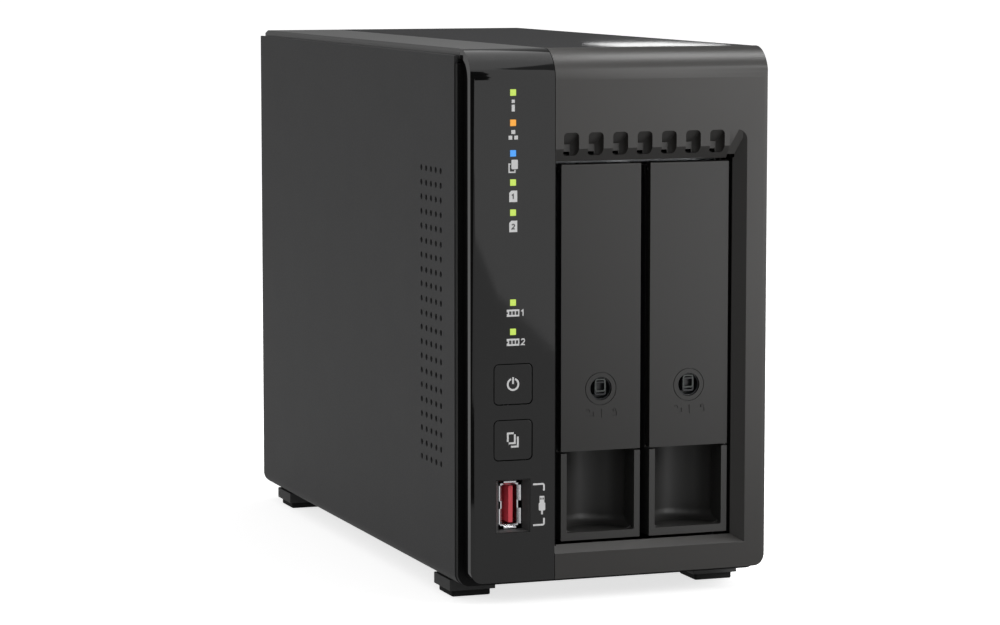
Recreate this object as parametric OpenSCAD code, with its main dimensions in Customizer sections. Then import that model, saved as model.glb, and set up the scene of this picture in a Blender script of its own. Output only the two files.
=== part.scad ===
// Two-bay desktop network storage box.
// Frame: X to the right seen from the front, Y to the back, Z up.
// The origin is on the table, under the middle.

/* [Body] */
// Width over the steel shell
body_w = 101.5; // [101.5:0.5:130]
// Depth from the front face to the rear edge of the shell
body_d = 226; // [226:1:280]
// Height from the table to the top
body_h = 172; // [172:1:210]
// Thickness of the folded steel sheet
sheet = 1.2; // [0.8:0.1:1.6]
// Outer radius of the shell's lower bends
bend_r = 4; // [2:0.5:6]
// Height of the shell's underside above the table
ground_gap = 5.7; // [5:0.1:8]

/* [Fascia] */
// Thickness of the moulded front
fascia_t = 2.8; // [2:0.1:3.4]
// Radius where the front turns over into the top
face_fillet = 9.5; // [5:0.5:9.5]
// Radius of the front's lower corners
corner_r = 3.8; // [2:0.1:6]
// How far the front stands in from the shell at each side
fascia_inset = 1.5; // [1:0.1:2.5]
// Depth of the groove between the shell and the front
groove_d = 2.5; // [1.5:0.1:3]
// Gap between the two moulded front parts
seam = 0.2; // [0.1:0.05:0.4]

/* [Drive trays] */
// Thickness of a hard drive
drive_t = 26.1; // [20:0.1:28]
// Width of a hard drive, upright in its tray
drive_w = 101.6; // [95:0.1:102]
// Length of a hard drive
drive_l = 147; // [120:1:150]
// Free space between the two trays
tray_gap = 2; // [1.2:0.1:5]
// Width of a tray's front plate
plate_w = 26.4; // [22:0.1:26.8]
// Height of a tray's front plate, its pull handle
plate_h = 89.5; // [70:0.5:92]
// Thickness of a tray's front plate
plate_t = 3.6; // [3:0.1:4]
// Sliding clearance between trays and cage
slide_gap = 0.4; // [0.3:0.05:0.6]
// Radius of the handle's hinge pin
pin_r = 0.6; // [0.5:0.05:0.7]
// Running clearance of pins and shafts
run_gap = 0.05; // [0.03:0.01:0.08]
// Diameter of the lock's ring
lock_d = 10.4; // [8:0.1:11]

/* [Buttons and lights] */
// Side of the two square buttons
button_w = 12.3; // [9:0.1:13]
// How far a button can be pressed
button_travel = 0.8; // [0.4:0.1:1.2]
// Side of a square status light
light_w = 1.9; // [1.4:0.1:2.4]

/* [Cooling] */
// Side of the square fan
fan_w = 80; // [60:1:80]
// Thickness of the fan
fan_t = 25; // [15:1:25]
// Number of fan blades
blades = 7; // [5:1:9]
// Diameter of a side vent hole
vent_d = 2; // [1.5:0.1:2.6]
// Columns of side vent holes
vent_cols = 5; // [3:1:6]
// Rows of side vent holes
vent_rows = 21; // [10:1:24]

/* [Feet] */
// Width of a rubber foot
foot_w = 12.8; // [10:0.1:16]
// Length of a rubber foot
foot_l = 13.1; // [10:0.1:18]
// Thickness of the rubber
pad_h = 2.9; // [2:0.1:3.4]

/* [Hidden] */
$fn = 64;
eps = 0.01;
part_gap = 0.3;

// Outer planes
half_w = body_w / 2;
face_y = -body_d / 2;
back_y = body_d / 2;
shell_front = face_y + 11;
shell_top = body_h - 2;
inner_w = half_w - sheet;
floor_z = ground_gap + sheet;

// Moulded front
fascia_half = half_w - fascia_inset;
fascia_base = ground_gap + 2.3;
fascia_back = face_y + 10;
edge_break = 1.35;
edge_drop = 0.4;
groove_half = half_w - groove_d;
rim_front = face_y + 8.5;
frame_wall = 2;
frame_half = groove_half - frame_wall;
frame_back = face_y + 17;
frame_top = body_h - fascia_t;
post_half = 1.2;

// Drive bay, placed from the right-hand side
bay_right = half_w - 12.1;
bay_slope_w = 3.6;
bay_slope_d = 3.2;
bay_top = 137.4;
bay_bottom = 18.2;
bay_low_slope = 2.3;
bay_corner_r = 3.3;
bay_rim_t = 1.6;
bay_rim_back = face_y + 3.7;
bay_gap = 0.9;
rail_t = 1;
rail_gap = 0.2;
tray_left = max(plate_w / 2 + rail_gap, drive_t / 2 + rail_t + rail_gap);
tray_right = max(plate_w / 2, drive_t / 2 + part_gap);
tray_pitch = tray_left + tray_right + tray_gap;
tray_2_x = bay_right - max(plate_w / 2 + bay_gap, tray_right + part_gap);
tray_1_x = tray_2_x - tray_pitch;
bay_left = tray_1_x - tray_left - 2.5;
seam_x = bay_left;

// Air inlet row over the trays
inlet_count = 7;
inlet_w = 4.95;
inlet_pitch = 8.1;
inlet_top = 146.3;
inlet_ledge = 142.6;
inlet_shelf = 140.35;
inlet_low = 139.15;
inlet_first_x = bay_left + 5.3;
inlet_ledge_d = 3;
inlet_side_r = 3.2;
inlet_deep_w = 2.85;
band_bottom = 141.3;
band_right = bay_right - 2.4;
band_back = face_y + 3.8;
slope_top = 146.3;

// Trays
plate_front = face_y + 4;
plate_top = bay_top - 0.9;
plate_low = plate_top - plate_h;
tray_low = bay_bottom + 0.8;
tray_top = plate_top - 1.3;
cavity_low = tray_low + 2.4;
cavity_top = plate_low - 0.6;
cavity_wall = 1.9;
cavity_d = 15;
well_r = 12.4;
well_foot = 3.6;
well_rise = 8;
block_front = plate_front + plate_t + 0.4;
block_back = plate_front + cavity_d + 1.6;
hinge_y = plate_front + 2.1;
hinge_z = plate_top - 2.3;
hinge_clear_r = 3.5;
lug_x = 9;
lug_w = 3;
lug_r = 1.2;
lug_gap = 0.15;
drive_front = block_back + 1;
drive_z = (tray_low + tray_top) / 2;
lock_z = plate_low + 19.3;
lock_hole_d = 7.2;
lock_reach = 6;
ring_line = 0.2;
ring_sink = 0.4;
key_w = 3.9;
key_h = 4.4;
sign_sink = 0.2;
handle_edge_r = 0.6;
grip_d = 1.2;
grip_h = 4;

// Cage
cage_t = 1;
cage_left = tray_1_x - tray_left - slide_gap;
cage_right = tray_2_x + tray_right + slide_gap;
cage_front = frame_back + 0.5;
cage_low = tray_low + 1.4;
cage_top = tray_top + slide_gap;
drive_back = drive_front + drive_l;
backplane_y = drive_back + 5;
cage_back = backplane_y;
board_t = 1.6;

// Control column at the left of the front
panel_x = (-fascia_half + seam_x) / 2;
light_z = [158.9, 149.7, 140.4, 131.5, 122.3, 94.7, 85.7];
green_rows = [0, 3, 4, 5, 6];
network_row = 1;
copy_row = 2;
power_z = 69.5;
copy_z = 52.2;
button_gap = 0.25;
button_r = 1.4;
button_cap_t = 2.6;
usb_x = panel_x;
usb_z = 31.7;
usb_w = 5.8;
usb_h = 13.2;
usb_l = 17;
usb_wall = 0.4;
usb_mouth = 0.7;
usb_front = face_y + fascia_t + 0.1;
usb_open_w = usb_w + 2 * usb_mouth + 0.5;
usb_open_h = usb_h + 2 * usb_mouth + 0.6;
usb_recess_w = 11.3;
usb_recess_h = 16.6;
front_board_y = face_y + 9.6;

// Rear
panel_out = back_y - 1;
panel_in = panel_out - sheet;
fan_front = panel_in - fan_t;
fan_x = inner_w - fan_w / 2 - part_gap;
fan_z = 96;
fan_bore_r = fan_w / 2 - 2;
fan_hub_r = 15;
fan_shaft_r = 1.5;
fan_screw_pitch = fan_w - 8.5;
grille_rib = 1.7;
grille_slot = 4.3;

// Electronics on the left-hand wall
board_x = -inner_w + 3;
board_face = board_x + board_t;
board_front = face_y + 22;
board_back = panel_in - 0.5;
board_low = floor_z + 6;
board_high = shell_top - 8;
jack_x = board_face;

module block(x0, x1, y0, y1, z0, z1) {
    translate([x0, y0, z0]) cube([x1 - x0, y1 - y0, z1 - z0]);
}

// A shape drawn in X and Z, carried from y0 to y1
module along_y(y0, y1) {
    translate([0, y1, 0]) rotate([90, 0, 0]) linear_extrude(y1 - y0) children();
}

// A shape drawn in Y and Z, carried from x0 to x1
module along_x(x0, x1) {
    translate([x0, 0, 0]) rotate([90, 0, 90]) linear_extrude(x1 - x0) children();
}

// Rod of radius r along Y
module rod_y(x, z, r, y0, y1) {
    translate([x, y1, z]) rotate([90, 0, 0]) cylinder(r = r, h = y1 - y0);
}

// Rod of radius r along X
module rod_x(y, z, r, x0, x1) {
    translate([x0, y, z]) rotate([0, 90, 0]) cylinder(r = r, h = x1 - x0);
}

// Rounded rectangle from corner to corner
module rounded(x0, z0, x1, z1, r) {
    translate([x0 + r, z0]) square([x1 - x0 - 2 * r, z1 - z0]);
    translate([x0, z0 + r]) square([x1 - x0, z1 - z0 - 2 * r]);
    for (x = [x0 + r, x1 - r], z = [z0 + r, z1 - r])
        translate([x, z]) circle(r = r);
}

// Rectangle whose two lower corners are round
module round_bottom(half, z0, z1, r) {
    translate([-half, z0 + r]) square([2 * half, z1 - z0 - r]);
    translate([-half + r, z0]) square([2 * half - 2 * r, z1 - z0]);
    for (x = [-half + r, half - r])
        translate([x, z0 + r]) circle(r = r);
}

// Enclosure

module vent_holes() {
    col_pitch = 4.7;
    row_pitch = 4.59;
    first_y = shell_front + 12.9;
    first_z = 42;
    for (i = [0 : vent_cols - 1], j = [0 : vent_rows - 1])
        rod_x(first_y + i * col_pitch, first_z + j * row_pitch, vent_d / 2, -half_w - 1, half_w + 1);
}

module outer_shell() {
    color("#454545") difference() {
        along_y(shell_front, back_y) difference() {
            round_bottom(half_w, ground_gap, shell_top, bend_r);
            round_bottom(inner_w, floor_z, shell_top + 1, bend_r - sheet);
        }
        vent_holes();
    }
}

top_half = inner_w - part_gap;
top_front = fascia_back + 0.2;
top_base_low = body_h - 4.2;
top_plate_low = body_h - 3;
top_back = panel_out;

module top_edge_profile(x0, x1, left_break, right_break) {
    polygon([[x0, top_plate_low], [x1, top_plate_low], [x1, body_h - right_break], [x1 - right_break, body_h],
        [x0 + left_break, body_h], [x0, body_h - left_break]]);
}

module top_cover() {
    color("#4d4d4d") union() {
        block(-inner_w, inner_w, shell_front, top_back, top_base_low, top_plate_low);
        along_y(top_front, top_back) top_edge_profile(seam_x + seam / 2, top_half, 0.05, 1);
    }
}

module top_trim_strip() {
    color("#5e5e5e")
        along_y(top_front, top_back) top_edge_profile(-top_half, seam_x - seam / 2, 1, 0.05);
}

// Front

// Side view of the front: upright face, fillet, short top
module face_side_view(inset) {
    y0 = face_y + inset;
    z1 = body_h - inset;
    r = face_fillet - inset;
    translate([y0, 0]) square([fascia_back - y0, z1 - r]);
    translate([y0 + r, 0]) square([fascia_back - y0 - r, z1]);
    intersection() {
        translate([y0 + r, z1 - r]) circle(r = r);
        translate([y0, 0]) square([fascia_back - y0, z1]);
    }
}

module fascia(x0, x1) {
    intersection() {
        along_x(x0, x1) difference() {
            face_side_view(0);
            union() {
                face_side_view(fascia_t);
                translate([fascia_back - 1, 0]) square([2, body_h - fascia_t]);
            }
        }
        along_y(face_y - 1, fascia_back) round_bottom(fascia_half, fascia_base, body_h + 5, corner_r);
        linear_extrude(body_h + 1) polygon([[-fascia_half, fascia_back], [-fascia_half, face_y + edge_drop],
            [-fascia_half + edge_break, face_y], [fascia_half - edge_break, face_y],
            [fascia_half, face_y + edge_drop], [fascia_half, fascia_back]]);
    }
}

// Recess round the trays: sloped at the right, below and above, with a round upper corner
module bay_recess() {
    front = face_y - eps;
    deep = face_y + bay_slope_d;
    back = deep + 20;
    left = bay_left - 5;
    edge_x = bay_right + bay_slope_w;
    corner_x = edge_x - bay_corner_r;
    corner_z = slope_top - bay_corner_r;
    intersection() {
        linear_extrude(body_h) polygon([[left, front], [edge_x, front], [bay_right, deep], [bay_right, back],
            [left, back]]);
        along_x(left, edge_x + 1) polygon([[front, bay_bottom - bay_low_slope], [deep, bay_bottom],
            [back, bay_bottom], [back, bay_top], [deep, bay_top], [front, slope_top]]);
        union() {
            block(left, edge_x + 1, front - 1, back + 1, 0, corner_z);
            block(left, corner_x, front - 1, back + 1, 0, slope_top + 1);
            translate([corner_x, deep, corner_z]) rotate([90, 0, 0])
                cylinder(r1 = eps, r2 = bay_corner_r, h = bay_slope_d + eps);
        }
    }
}

// Inlet scoops: a sloping top, an upright ledge, an open slot below and a round right-hand side
module inlet_notches() {
    ledge_y = face_y + inlet_ledge_d;
    through = face_y + 8;
    corner = 1.3;
    for (i = [0 : inlet_count - 1]) {
        x0 = inlet_first_x + i * inlet_pitch - inlet_w / 2;
        x1 = x0 + inlet_w;
        intersection() {
            along_y(face_y - 1, through) rounded(x0, inlet_low, x1, inlet_top, corner);
            along_x(x0 - 1, x1 + 1) polygon([[face_y - 1, inlet_low], [through, inlet_low],
                [through, inlet_shelf], [ledge_y, inlet_shelf], [ledge_y, inlet_ledge],
                [face_y + 0.3, inlet_top], [face_y - 1, inlet_top]]);
            linear_extrude(body_h) union() {
                translate([x0, face_y - 1]) square([inlet_deep_w, through - face_y + 2]);
                translate([x1 - inlet_side_r, face_y]) circle(r = inlet_side_r);
                translate([x0, face_y - 1]) square([inlet_w, 1]);
            }
        }
    }
}

module front_bezel() {
    x0 = seam_x + seam / 2;
    inner = face_y + fascia_t;
    rim_x = seam_x + post_half + part_gap;
    rim_low = bay_bottom - bay_low_slope - bay_rim_t;
    color("#4a4845") difference() {
        union() {
            difference() {
                union() {
                    fascia(x0, fascia_half);
                    // Rim that lets the slopes end behind the sheet of the moulding
                    block(rim_x, bay_right + bay_rim_t, inner - eps, bay_rim_back, rim_low, bay_bottom + 1);
                    block(bay_right - 1, bay_right + bay_rim_t, inner - eps, bay_rim_back, rim_low, bay_top);
                }
                bay_recess();
            }
            along_x(x0, band_right) polygon([[face_y, band_bottom], [inner, bay_top],
                [inner, inlet_top + 1], [face_y, inlet_top + 1]]);
            block(rim_x, band_right, inner - eps, band_back, bay_top, inlet_top + 1);
        }
        inlet_notches();
    }
}

// Recess of the front port, its four sides sloped
module usb_recess() {
    front = face_y - eps;
    deep = face_y + fascia_t;
    back = deep + 1;
    intersection() {
        linear_extrude(body_h) polygon([[usb_x - usb_recess_w / 2, front], [usb_x + usb_recess_w / 2, front],
            [usb_x + usb_open_w / 2, deep], [usb_x + usb_open_w / 2, back],
            [usb_x - usb_open_w / 2, back], [usb_x - usb_open_w / 2, deep]]);
        along_x(usb_x - usb_recess_w, usb_x + usb_recess_w) polygon([[front, usb_z - usb_recess_h / 2],
            [deep, usb_z - usb_open_h / 2], [back, usb_z - usb_open_h / 2], [back, usb_z + usb_open_h / 2],
            [deep, usb_z + usb_open_h / 2], [front, usb_z + usb_recess_h / 2]]);
    }
}

module led_panel() {
    edge = seam_x - seam / 2;
    fit = 0.05;
    color("#2e2e2e") difference() {
        fascia(-fascia_half, edge);
        for (z = light_z)
            block(panel_x - light_w / 2 - fit, panel_x + light_w / 2 + fit, face_y - 1, fascia_back,
                z - light_w / 2 - fit, z + light_w / 2 + fit);
        for (z = [power_z, copy_z])
            along_y(face_y - 1, front_board_y) rounded(panel_x - button_w / 2 - button_gap,
                z - button_w / 2 - button_gap, panel_x + button_w / 2 + button_gap,
                z + button_w / 2 + button_gap, button_r + button_gap);
        usb_recess();
    }
}

module bezel_frame() {
    inner_low = floor_z + 2.9;
    roof = top_base_low - part_gap;
    inner_high = roof - 1.6;
    web_y = face_y + 6;
    color("#121212") union() {
        intersection() {
            union() {
                along_y(face_y + fascia_t, frame_back) difference() {
                    round_bottom(groove_half, fascia_base, frame_top, corner_r - 1);
                    rounded(-frame_half, inner_low, frame_half, inner_high, 1.5);
                }
                block(seam_x - post_half, seam_x + post_half, face_y + fascia_t, frame_back,
                    inner_low - 1, inner_high + 1);
            }
            along_x(-half_w, half_w) union() {
                face_side_view(fascia_t);
                translate([fascia_back - 1, 0]) square([frame_back - fascia_back + 2, roof]);
            }
        }
        along_y(rim_front, shell_front) difference() {
            round_bottom(half_w - 0.2, ground_gap + 0.1, roof, bend_r);
            rounded(-frame_half, inner_low, frame_half, inner_high, 1.5);
        }
        block(seam_x, frame_half + 1, face_y + fascia_t + 1.3, frame_back, bay_top + 1.1, bay_top + 2.1);
        block(seam_x, frame_half + 1, web_y, web_y + 1.2, inlet_top + 2, inner_high + 1);
        block(bay_right + 0.2, frame_half + 1, web_y, web_y + 1.2, inner_low - 1, bay_top + 2);
    }
}

// Lights, buttons and the front port

module light_pipe(z) {
    block(panel_x - light_w / 2, panel_x + light_w / 2, face_y + 0.05, front_board_y - 0.2,
        z - light_w / 2, z + light_w / 2);
}

module green_lights() {
    color("#c5f064") for (i = green_rows) light_pipe(light_z[i]);
}

module network_light() {
    color("#ffaa46") light_pipe(light_z[network_row]);
}

module copy_light() {
    color("#5aa0ff") light_pipe(light_z[copy_row]);
}

cap_sink = 0.1;
plunger_r = 2;
plunger_gap = 0.1;
switch_h = 1.6;
switch_stem = 1.2;
switch_half = 3;
stem_r = 1.6;

module push_cap(z) {
    plunger_back = front_board_y - switch_h - switch_stem - plunger_gap;
    along_y(face_y + cap_sink, face_y + button_cap_t) rounded(panel_x - button_w / 2, z - button_w / 2,
        panel_x + button_w / 2, z + button_w / 2, button_r);
    rod_y(panel_x, z, plunger_r, face_y + button_cap_t, plunger_back);
}

module power_button() {
    color("#333333") push_cap(power_z);
}

module copy_button() {
    color("#333333") push_cap(copy_z);
}

// Small push switches: a square can with a short dome stem
module button_switches() {
    color("#8a8a8a") for (z = [power_z, copy_z]) {
        block(panel_x - switch_half, panel_x + switch_half, front_board_y - switch_h, front_board_y,
            z - switch_half, z + switch_half);
        rod_y(panel_x, z, stem_r, front_board_y - switch_h - switch_stem + button_travel + plunger_gap,
            front_board_y - switch_h);
    }
}

module front_board() {
    low = usb_z + 12;
    high = light_z[0] + 5;
    hole_r = 1.5;
    hole_x = panel_x - 7;
    color("#1f5a38") difference() {
        block(-frame_half, seam_x - post_half, front_board_y, front_board_y + board_t, low, high);
        for (z = [power_z - 9.5, light_z[4] - 8])
            rod_y(hole_x, z, hole_r, front_board_y - 1, front_board_y + board_t + 1);
    }
}

// Spring lip of the port's mouth, on the side at +X; its wall flares outwards
module mouth_lip(half, low, high) {
    back = usb_front + usb_mouth;
    inner = half - usb_wall;
    translate([usb_x, 0, usb_z + low]) linear_extrude(high - low) polygon([[inner, back + eps],
        [inner + usb_mouth, usb_front], [half + usb_mouth, usb_front], [half, back + eps]]);
}

module front_usb_shell() {
    half_x = usb_w / 2;
    half_z = usb_h / 2;
    back = usb_front + usb_l;
    end_lip = 2;
    lip_low = 1.2;
    lip_high = 6;
    color("#c9c9cc") difference() {
        union() {
            block(usb_x - half_x, usb_x + half_x, usb_front + usb_mouth, back,
                usb_z - half_z, usb_z + half_z);
            for (side = [0, 180], part = [0, 180])
                translate([usb_x, 0, usb_z]) rotate([0, part, 0]) mirror([side / 180, 0, 0])
                    translate([-usb_x, 0, -usb_z]) mouth_lip(half_x, lip_low, lip_high);
            for (side = [90, 270])
                translate([usb_x, 0, usb_z]) rotate([0, side, 0]) translate([-usb_x, 0, -usb_z])
                    mouth_lip(half_z, -end_lip, end_lip);
        }
        block(usb_x - half_x + usb_wall, usb_x + half_x - usb_wall, usb_front - 1, back - usb_wall,
            usb_z - half_z + usb_wall, usb_z + half_z - usb_wall);
    }
}

module front_usb_tongue() {
    tongue_t = 1.5;
    tongue_h = usb_h - 1.7;
    tongue_front = usb_front + 1;
    root_l = 4;
    x0 = usb_x - 0.2;
    half_x = usb_w / 2 - usb_wall;
    half_z = usb_h / 2 - usb_wall;
    back = usb_front + usb_l - usb_wall;
    color("#b3363e") union() {
        block(x0, x0 + tongue_t, tongue_front, back, usb_z - tongue_h / 2, usb_z + tongue_h / 2);
        block(usb_x - half_x, usb_x + half_x, back - root_l, back, usb_z - half_z, usb_z + half_z);
    }
}

module front_usb_board() {
    x1 = usb_x - usb_w / 2;
    setback = 5;
    half_h = 9;
    color("#1f5a38") block(x1 - board_t, x1, usb_front + setback, usb_front + usb_l + setback,
        usb_z - half_h, usb_z + half_h);
}

// Feet

foot_side_inset = 3;
foot_front_inset = 22.2;
foot_rear_inset = 13.6;
foot_x = half_w - foot_side_inset - foot_w / 2;
front_foot_y = face_y + foot_front_inset + foot_l / 2;
rear_foot_y = back_y - foot_rear_inset - foot_l / 2;

module at_feet() {
    for (x = [-foot_x, foot_x], y = [front_foot_y, rear_foot_y])
        translate([x, y, 0]) children();
}

module foot_brackets() {
    margin = 1.2;
    w = foot_w + 2 * margin;
    l = foot_l + 2 * margin;
    socket = 0.8;
    color("#4b4b4b") at_feet() difference() {
        translate([-w / 2, -l / 2, pad_h - socket]) cube([w, l, ground_gap - pad_h + socket]);
        translate([-foot_w / 2, -foot_l / 2, pad_h - socket - 1]) cube([foot_w, foot_l, socket + 1]);
    }
}

module foot_pads() {
    corner_r = 0.8;
    color("#111111") at_feet() linear_extrude(pad_h)
        rounded(-foot_w / 2, -foot_l / 2, foot_w / 2, foot_l / 2, corner_r);
}

// Cage and backplane

// One upright wall of the cage, with three windows and a flange to the floor
module cage_wall(x0, flange_x0, flange_x1) {
    window_inset = 12;
    windows = 3;
    window_gap = 18;
    window_r = 5;
    flange_setback = 4;
    window_pitch = (cage_back - cage_front) / windows;
    color("#8f9296") difference() {
        union() {
            block(x0, x0 + cage_t, cage_front, cage_back, floor_z, cage_top + cage_t);
            block(flange_x0, flange_x1, cage_front + flange_setback, cage_back, floor_z, floor_z + cage_t);
        }
        for (i = [0 : windows - 1]) {
            y0 = cage_front + i * window_pitch + window_gap / 2;
            y1 = y0 + window_pitch - window_gap;
            along_x(x0 - 1, x0 + cage_t + 1)
                rounded(y0, cage_low + window_inset, y1, cage_top - window_inset, window_r);
        }
    }
}

flange_w = 8;

module cage_left_wall() {
    cage_wall(cage_left - cage_t, cage_left - flange_w, cage_left);
}

module cage_right_wall() {
    cage_wall(cage_right, cage_right, cage_right + flange_w);
}

module cage_floor() {
    color("#8f9296") block(cage_left, cage_right, cage_front, cage_back, cage_low - cage_t, cage_low);
}

module cage_roof() {
    color("#8f9296") block(cage_left, cage_right, cage_front, cage_back, cage_top, cage_top + cage_t);
}

module cage_screws() {
    side = 4.5;
    inset = 14;
    head_d = 5;
    head_h = 1.6;
    color("#b5b5b5")
        for (x = [cage_left - side, cage_right + side], y = [cage_front + inset, cage_back - inset])
            translate([x, y, floor_z + cage_t]) cylinder(d = head_d, h = head_h);
}

connector_len = 42;
connector_t = 6;
plug_in = 3;

module backplane_board() {
    slot_w = 9;
    slot_low = drive_z - 4;
    slot_high = cage_top - 8;
    slot_r = 3;
    board_back_y = backplane_y + board_t;
    color("#1f5a38") difference() {
        block(cage_left - cage_t, cage_right + cage_t, backplane_y, board_back_y, cage_low, cage_top);
        for (x = [tray_1_x, tray_2_x])
            along_y(backplane_y - 1, board_back_y + 1)
                rounded(x - slot_w / 2, slot_low, x + slot_w / 2, slot_high, slot_r);
    }
}

// Place of a drive's socket: on the board side of the drive, near the bottom
socket_inset = 2.4;
socket_rise = 8;
blade_side = 1.8;
blade_end = 3;
function socket_x(x) = x + drive_t / 2 - connector_t - socket_inset;
socket_z = drive_z - drive_w / 2 + socket_rise;

module drive_connectors() {
    color("#1a1a1a") for (x = [tray_1_x, tray_2_x]) {
        block(socket_x(x), socket_x(x) + connector_t, drive_back + part_gap, backplane_y,
            socket_z, socket_z + connector_len);
        block(socket_x(x) + blade_side, socket_x(x) + connector_t - blade_side, drive_back - plug_in,
            drive_back + part_gap, socket_z + blade_end, socket_z + connector_len - blade_end);
    }
}

// Trays

// Solid of the finger well's back, turned about the upright axis, with its foot filleted
module well_scoop() {
    rotate_extrude() union() {
        translate([0, well_foot]) square([well_r, body_h]);
        square([well_r - well_foot, body_h]);
        intersection() {
            translate([well_r - well_foot, well_foot]) circle(r = well_foot);
            square([well_r, well_foot]);
        }
    }
}

module tray_carrier(x) {
    front_part_back = cage_front - part_gap;
    inner_half = plate_w / 2 - cavity_wall;
    rail_low_top = drive_z - drive_w / 2;
    rail_high_low = drive_z + drive_w / 2;
    body_low = cage_low + slide_gap;
    tray_back = drive_back - 4;
    end_plate_t = 6;
    window = 30;
    window_r = 6;
    well_edge_r = 0.6;
    well_back = plate_front + cavity_d;
    wide = plate_w / 2;
    cam_room = 1.2;
    color("#4a4845") union() {
        difference() {
            union() {
                // Finger well with its frame, open at the front, and its back part above the cage floor
                block(x - wide, x + wide, plate_front, front_part_back, tray_low, cavity_top);
                block(x - wide, x + wide, front_part_back - 1, block_back, body_low, cavity_top);
                // Block behind the handle
                block(x - wide, x + wide, block_front, block_back, cavity_top - 1, tray_top);
                block(x - tray_left, x + tray_right, block_back - end_plate_t, block_back,
                    body_low, tray_top);
                // Side plate and two rails round the drive
                block(x - tray_left, x - tray_left + rail_t, block_back, tray_back, body_low, tray_top);
                block(x - tray_left, x + tray_right, block_back, tray_back, body_low, rail_low_top);
                block(x - tray_left, x + tray_right, block_back, tray_back, rail_high_low, tray_top);
            }
            // Finger well: round at the back, with a round foot
            intersection() {
                along_y(plate_front - 1, well_back) translate([x, 0])
                    rounded(-inner_half, cavity_low, inner_half, cavity_top + well_rise, well_edge_r);
                union() {
                    block(x - plate_w, x + plate_w, plate_front - 2, well_back - well_r, 0, body_h);
                    translate([x, well_back - well_r, cavity_low]) well_scoop();
                }
            }
            // Room for the handle's turning top edge, and a pocket for the lock's cam
            rod_x(hinge_y, hinge_z, hinge_clear_r, x - wide - part_gap, x + wide + part_gap);
            rod_y(x, lock_z, lock_d / 2 + cam_room, block_front - 1, block_front + lock_reach + 1);
            // Window in the side plate
            along_x(x - tray_left - 1, x - tray_left + rail_t + 1) rounded(drive_front + window,
                drive_z - window, drive_back - window, drive_z + window, window_r);
        }
        // Lugs that hold the hinge pin
        for (side = [-1, 1])
            along_x(x + side * lug_x - lug_w / 2, x + side * lug_x + lug_w / 2) difference() {
                union() {
                    translate([hinge_y, hinge_z]) circle(r = lug_r);
                    translate([hinge_y, hinge_z - lug_r]) square([hinge_clear_r + 2, 2 * lug_r]);
                }
                translate([hinge_y, hinge_z]) circle(r = pin_r);
            }
    }
}

// Sunk padlock sign, its shackle moved aside when open
module padlock_sign(x, z, shift, lift) {
    case_w = 1.75;
    case_h = 1.35;
    shackle_r = 0.6;
    line = 0.28;
    translate([x, z]) {
        translate([-case_w / 2, -case_h]) square([case_w, case_h]);
        translate([shift, lift]) difference() {
            union() {
                circle(r = shackle_r);
                translate([-shackle_r, -lift]) square([2 * shackle_r, lift]);
            }
            circle(r = shackle_r - line);
            translate([-shackle_r + line, -lift - 1]) square([2 * shackle_r - 2 * line, lift + 1]);
            if (shift < 0)
                translate([-shackle_r - 1, -lift - 1]) square([1 + shackle_r, lift + 1]);
        }
    }
}

module lock_signs(x) {
    sign_z = lock_z - 7.3;
    stroke_w = 0.35;
    stroke_h = 2.8;
    along_y(plate_front - 1, plate_front + sign_sink) {
        padlock_sign(x - 3.2, sign_z, -1.1, 0.5);
        padlock_sign(x + 4.5, sign_z, 0, 0.45);
        translate([x, sign_z - 1.9]) square([stroke_w, stroke_h]);
    }
}

module tray_handle(x) {
    back = plate_front + plate_t;
    ring_r = lock_d / 2;
    color("#4f4d4a") difference() {
        along_x(x - plate_w / 2, x + plate_w / 2) union() {
            translate([plate_front, plate_low]) square([plate_t, plate_h - handle_edge_r]);
            translate([plate_front + handle_edge_r, plate_low]) square([plate_t - handle_edge_r, plate_h]);
            translate([plate_front + handle_edge_r, plate_top - handle_edge_r]) circle(r = handle_edge_r);
        }
        rod_x(hinge_y, hinge_z, pin_r + run_gap, x - plate_w, x + plate_w);
        // Slots for the tray's lugs, open at the top and the back
        for (side = [-1, 1])
            block(x + side * lug_x - lug_w / 2 - part_gap, x + side * lug_x + lug_w / 2 + part_gap,
                hinge_y - lug_r - lug_gap, back + 1, hinge_z - lug_r - lug_gap, plate_top + 1);
        // Thin round line about the lock, and the lock's bore
        difference() {
            rod_y(x, lock_z, ring_r, plate_front - 1, plate_front + ring_sink);
            rod_y(x, lock_z, ring_r - ring_line, plate_front - 2, plate_front + ring_sink + 1);
        }
        rod_y(x, lock_z, lock_hole_d / 2 + run_gap, plate_front - 1, back + 1);
        lock_signs(x);
        // Grip rebate along the back of the lower edge
        along_x(x - plate_w, x + plate_w) polygon([[back - grip_d, plate_low - 1], [back + 1, plate_low - 1],
            [back + 1, plate_low + grip_h]]);
    }
}

module hinge_pin(x) {
    color("#c9c9cc") rod_x(hinge_y, hinge_z, pin_r, x - plate_w / 2 + part_gap, x + plate_w / 2 - part_gap);
}

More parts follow.
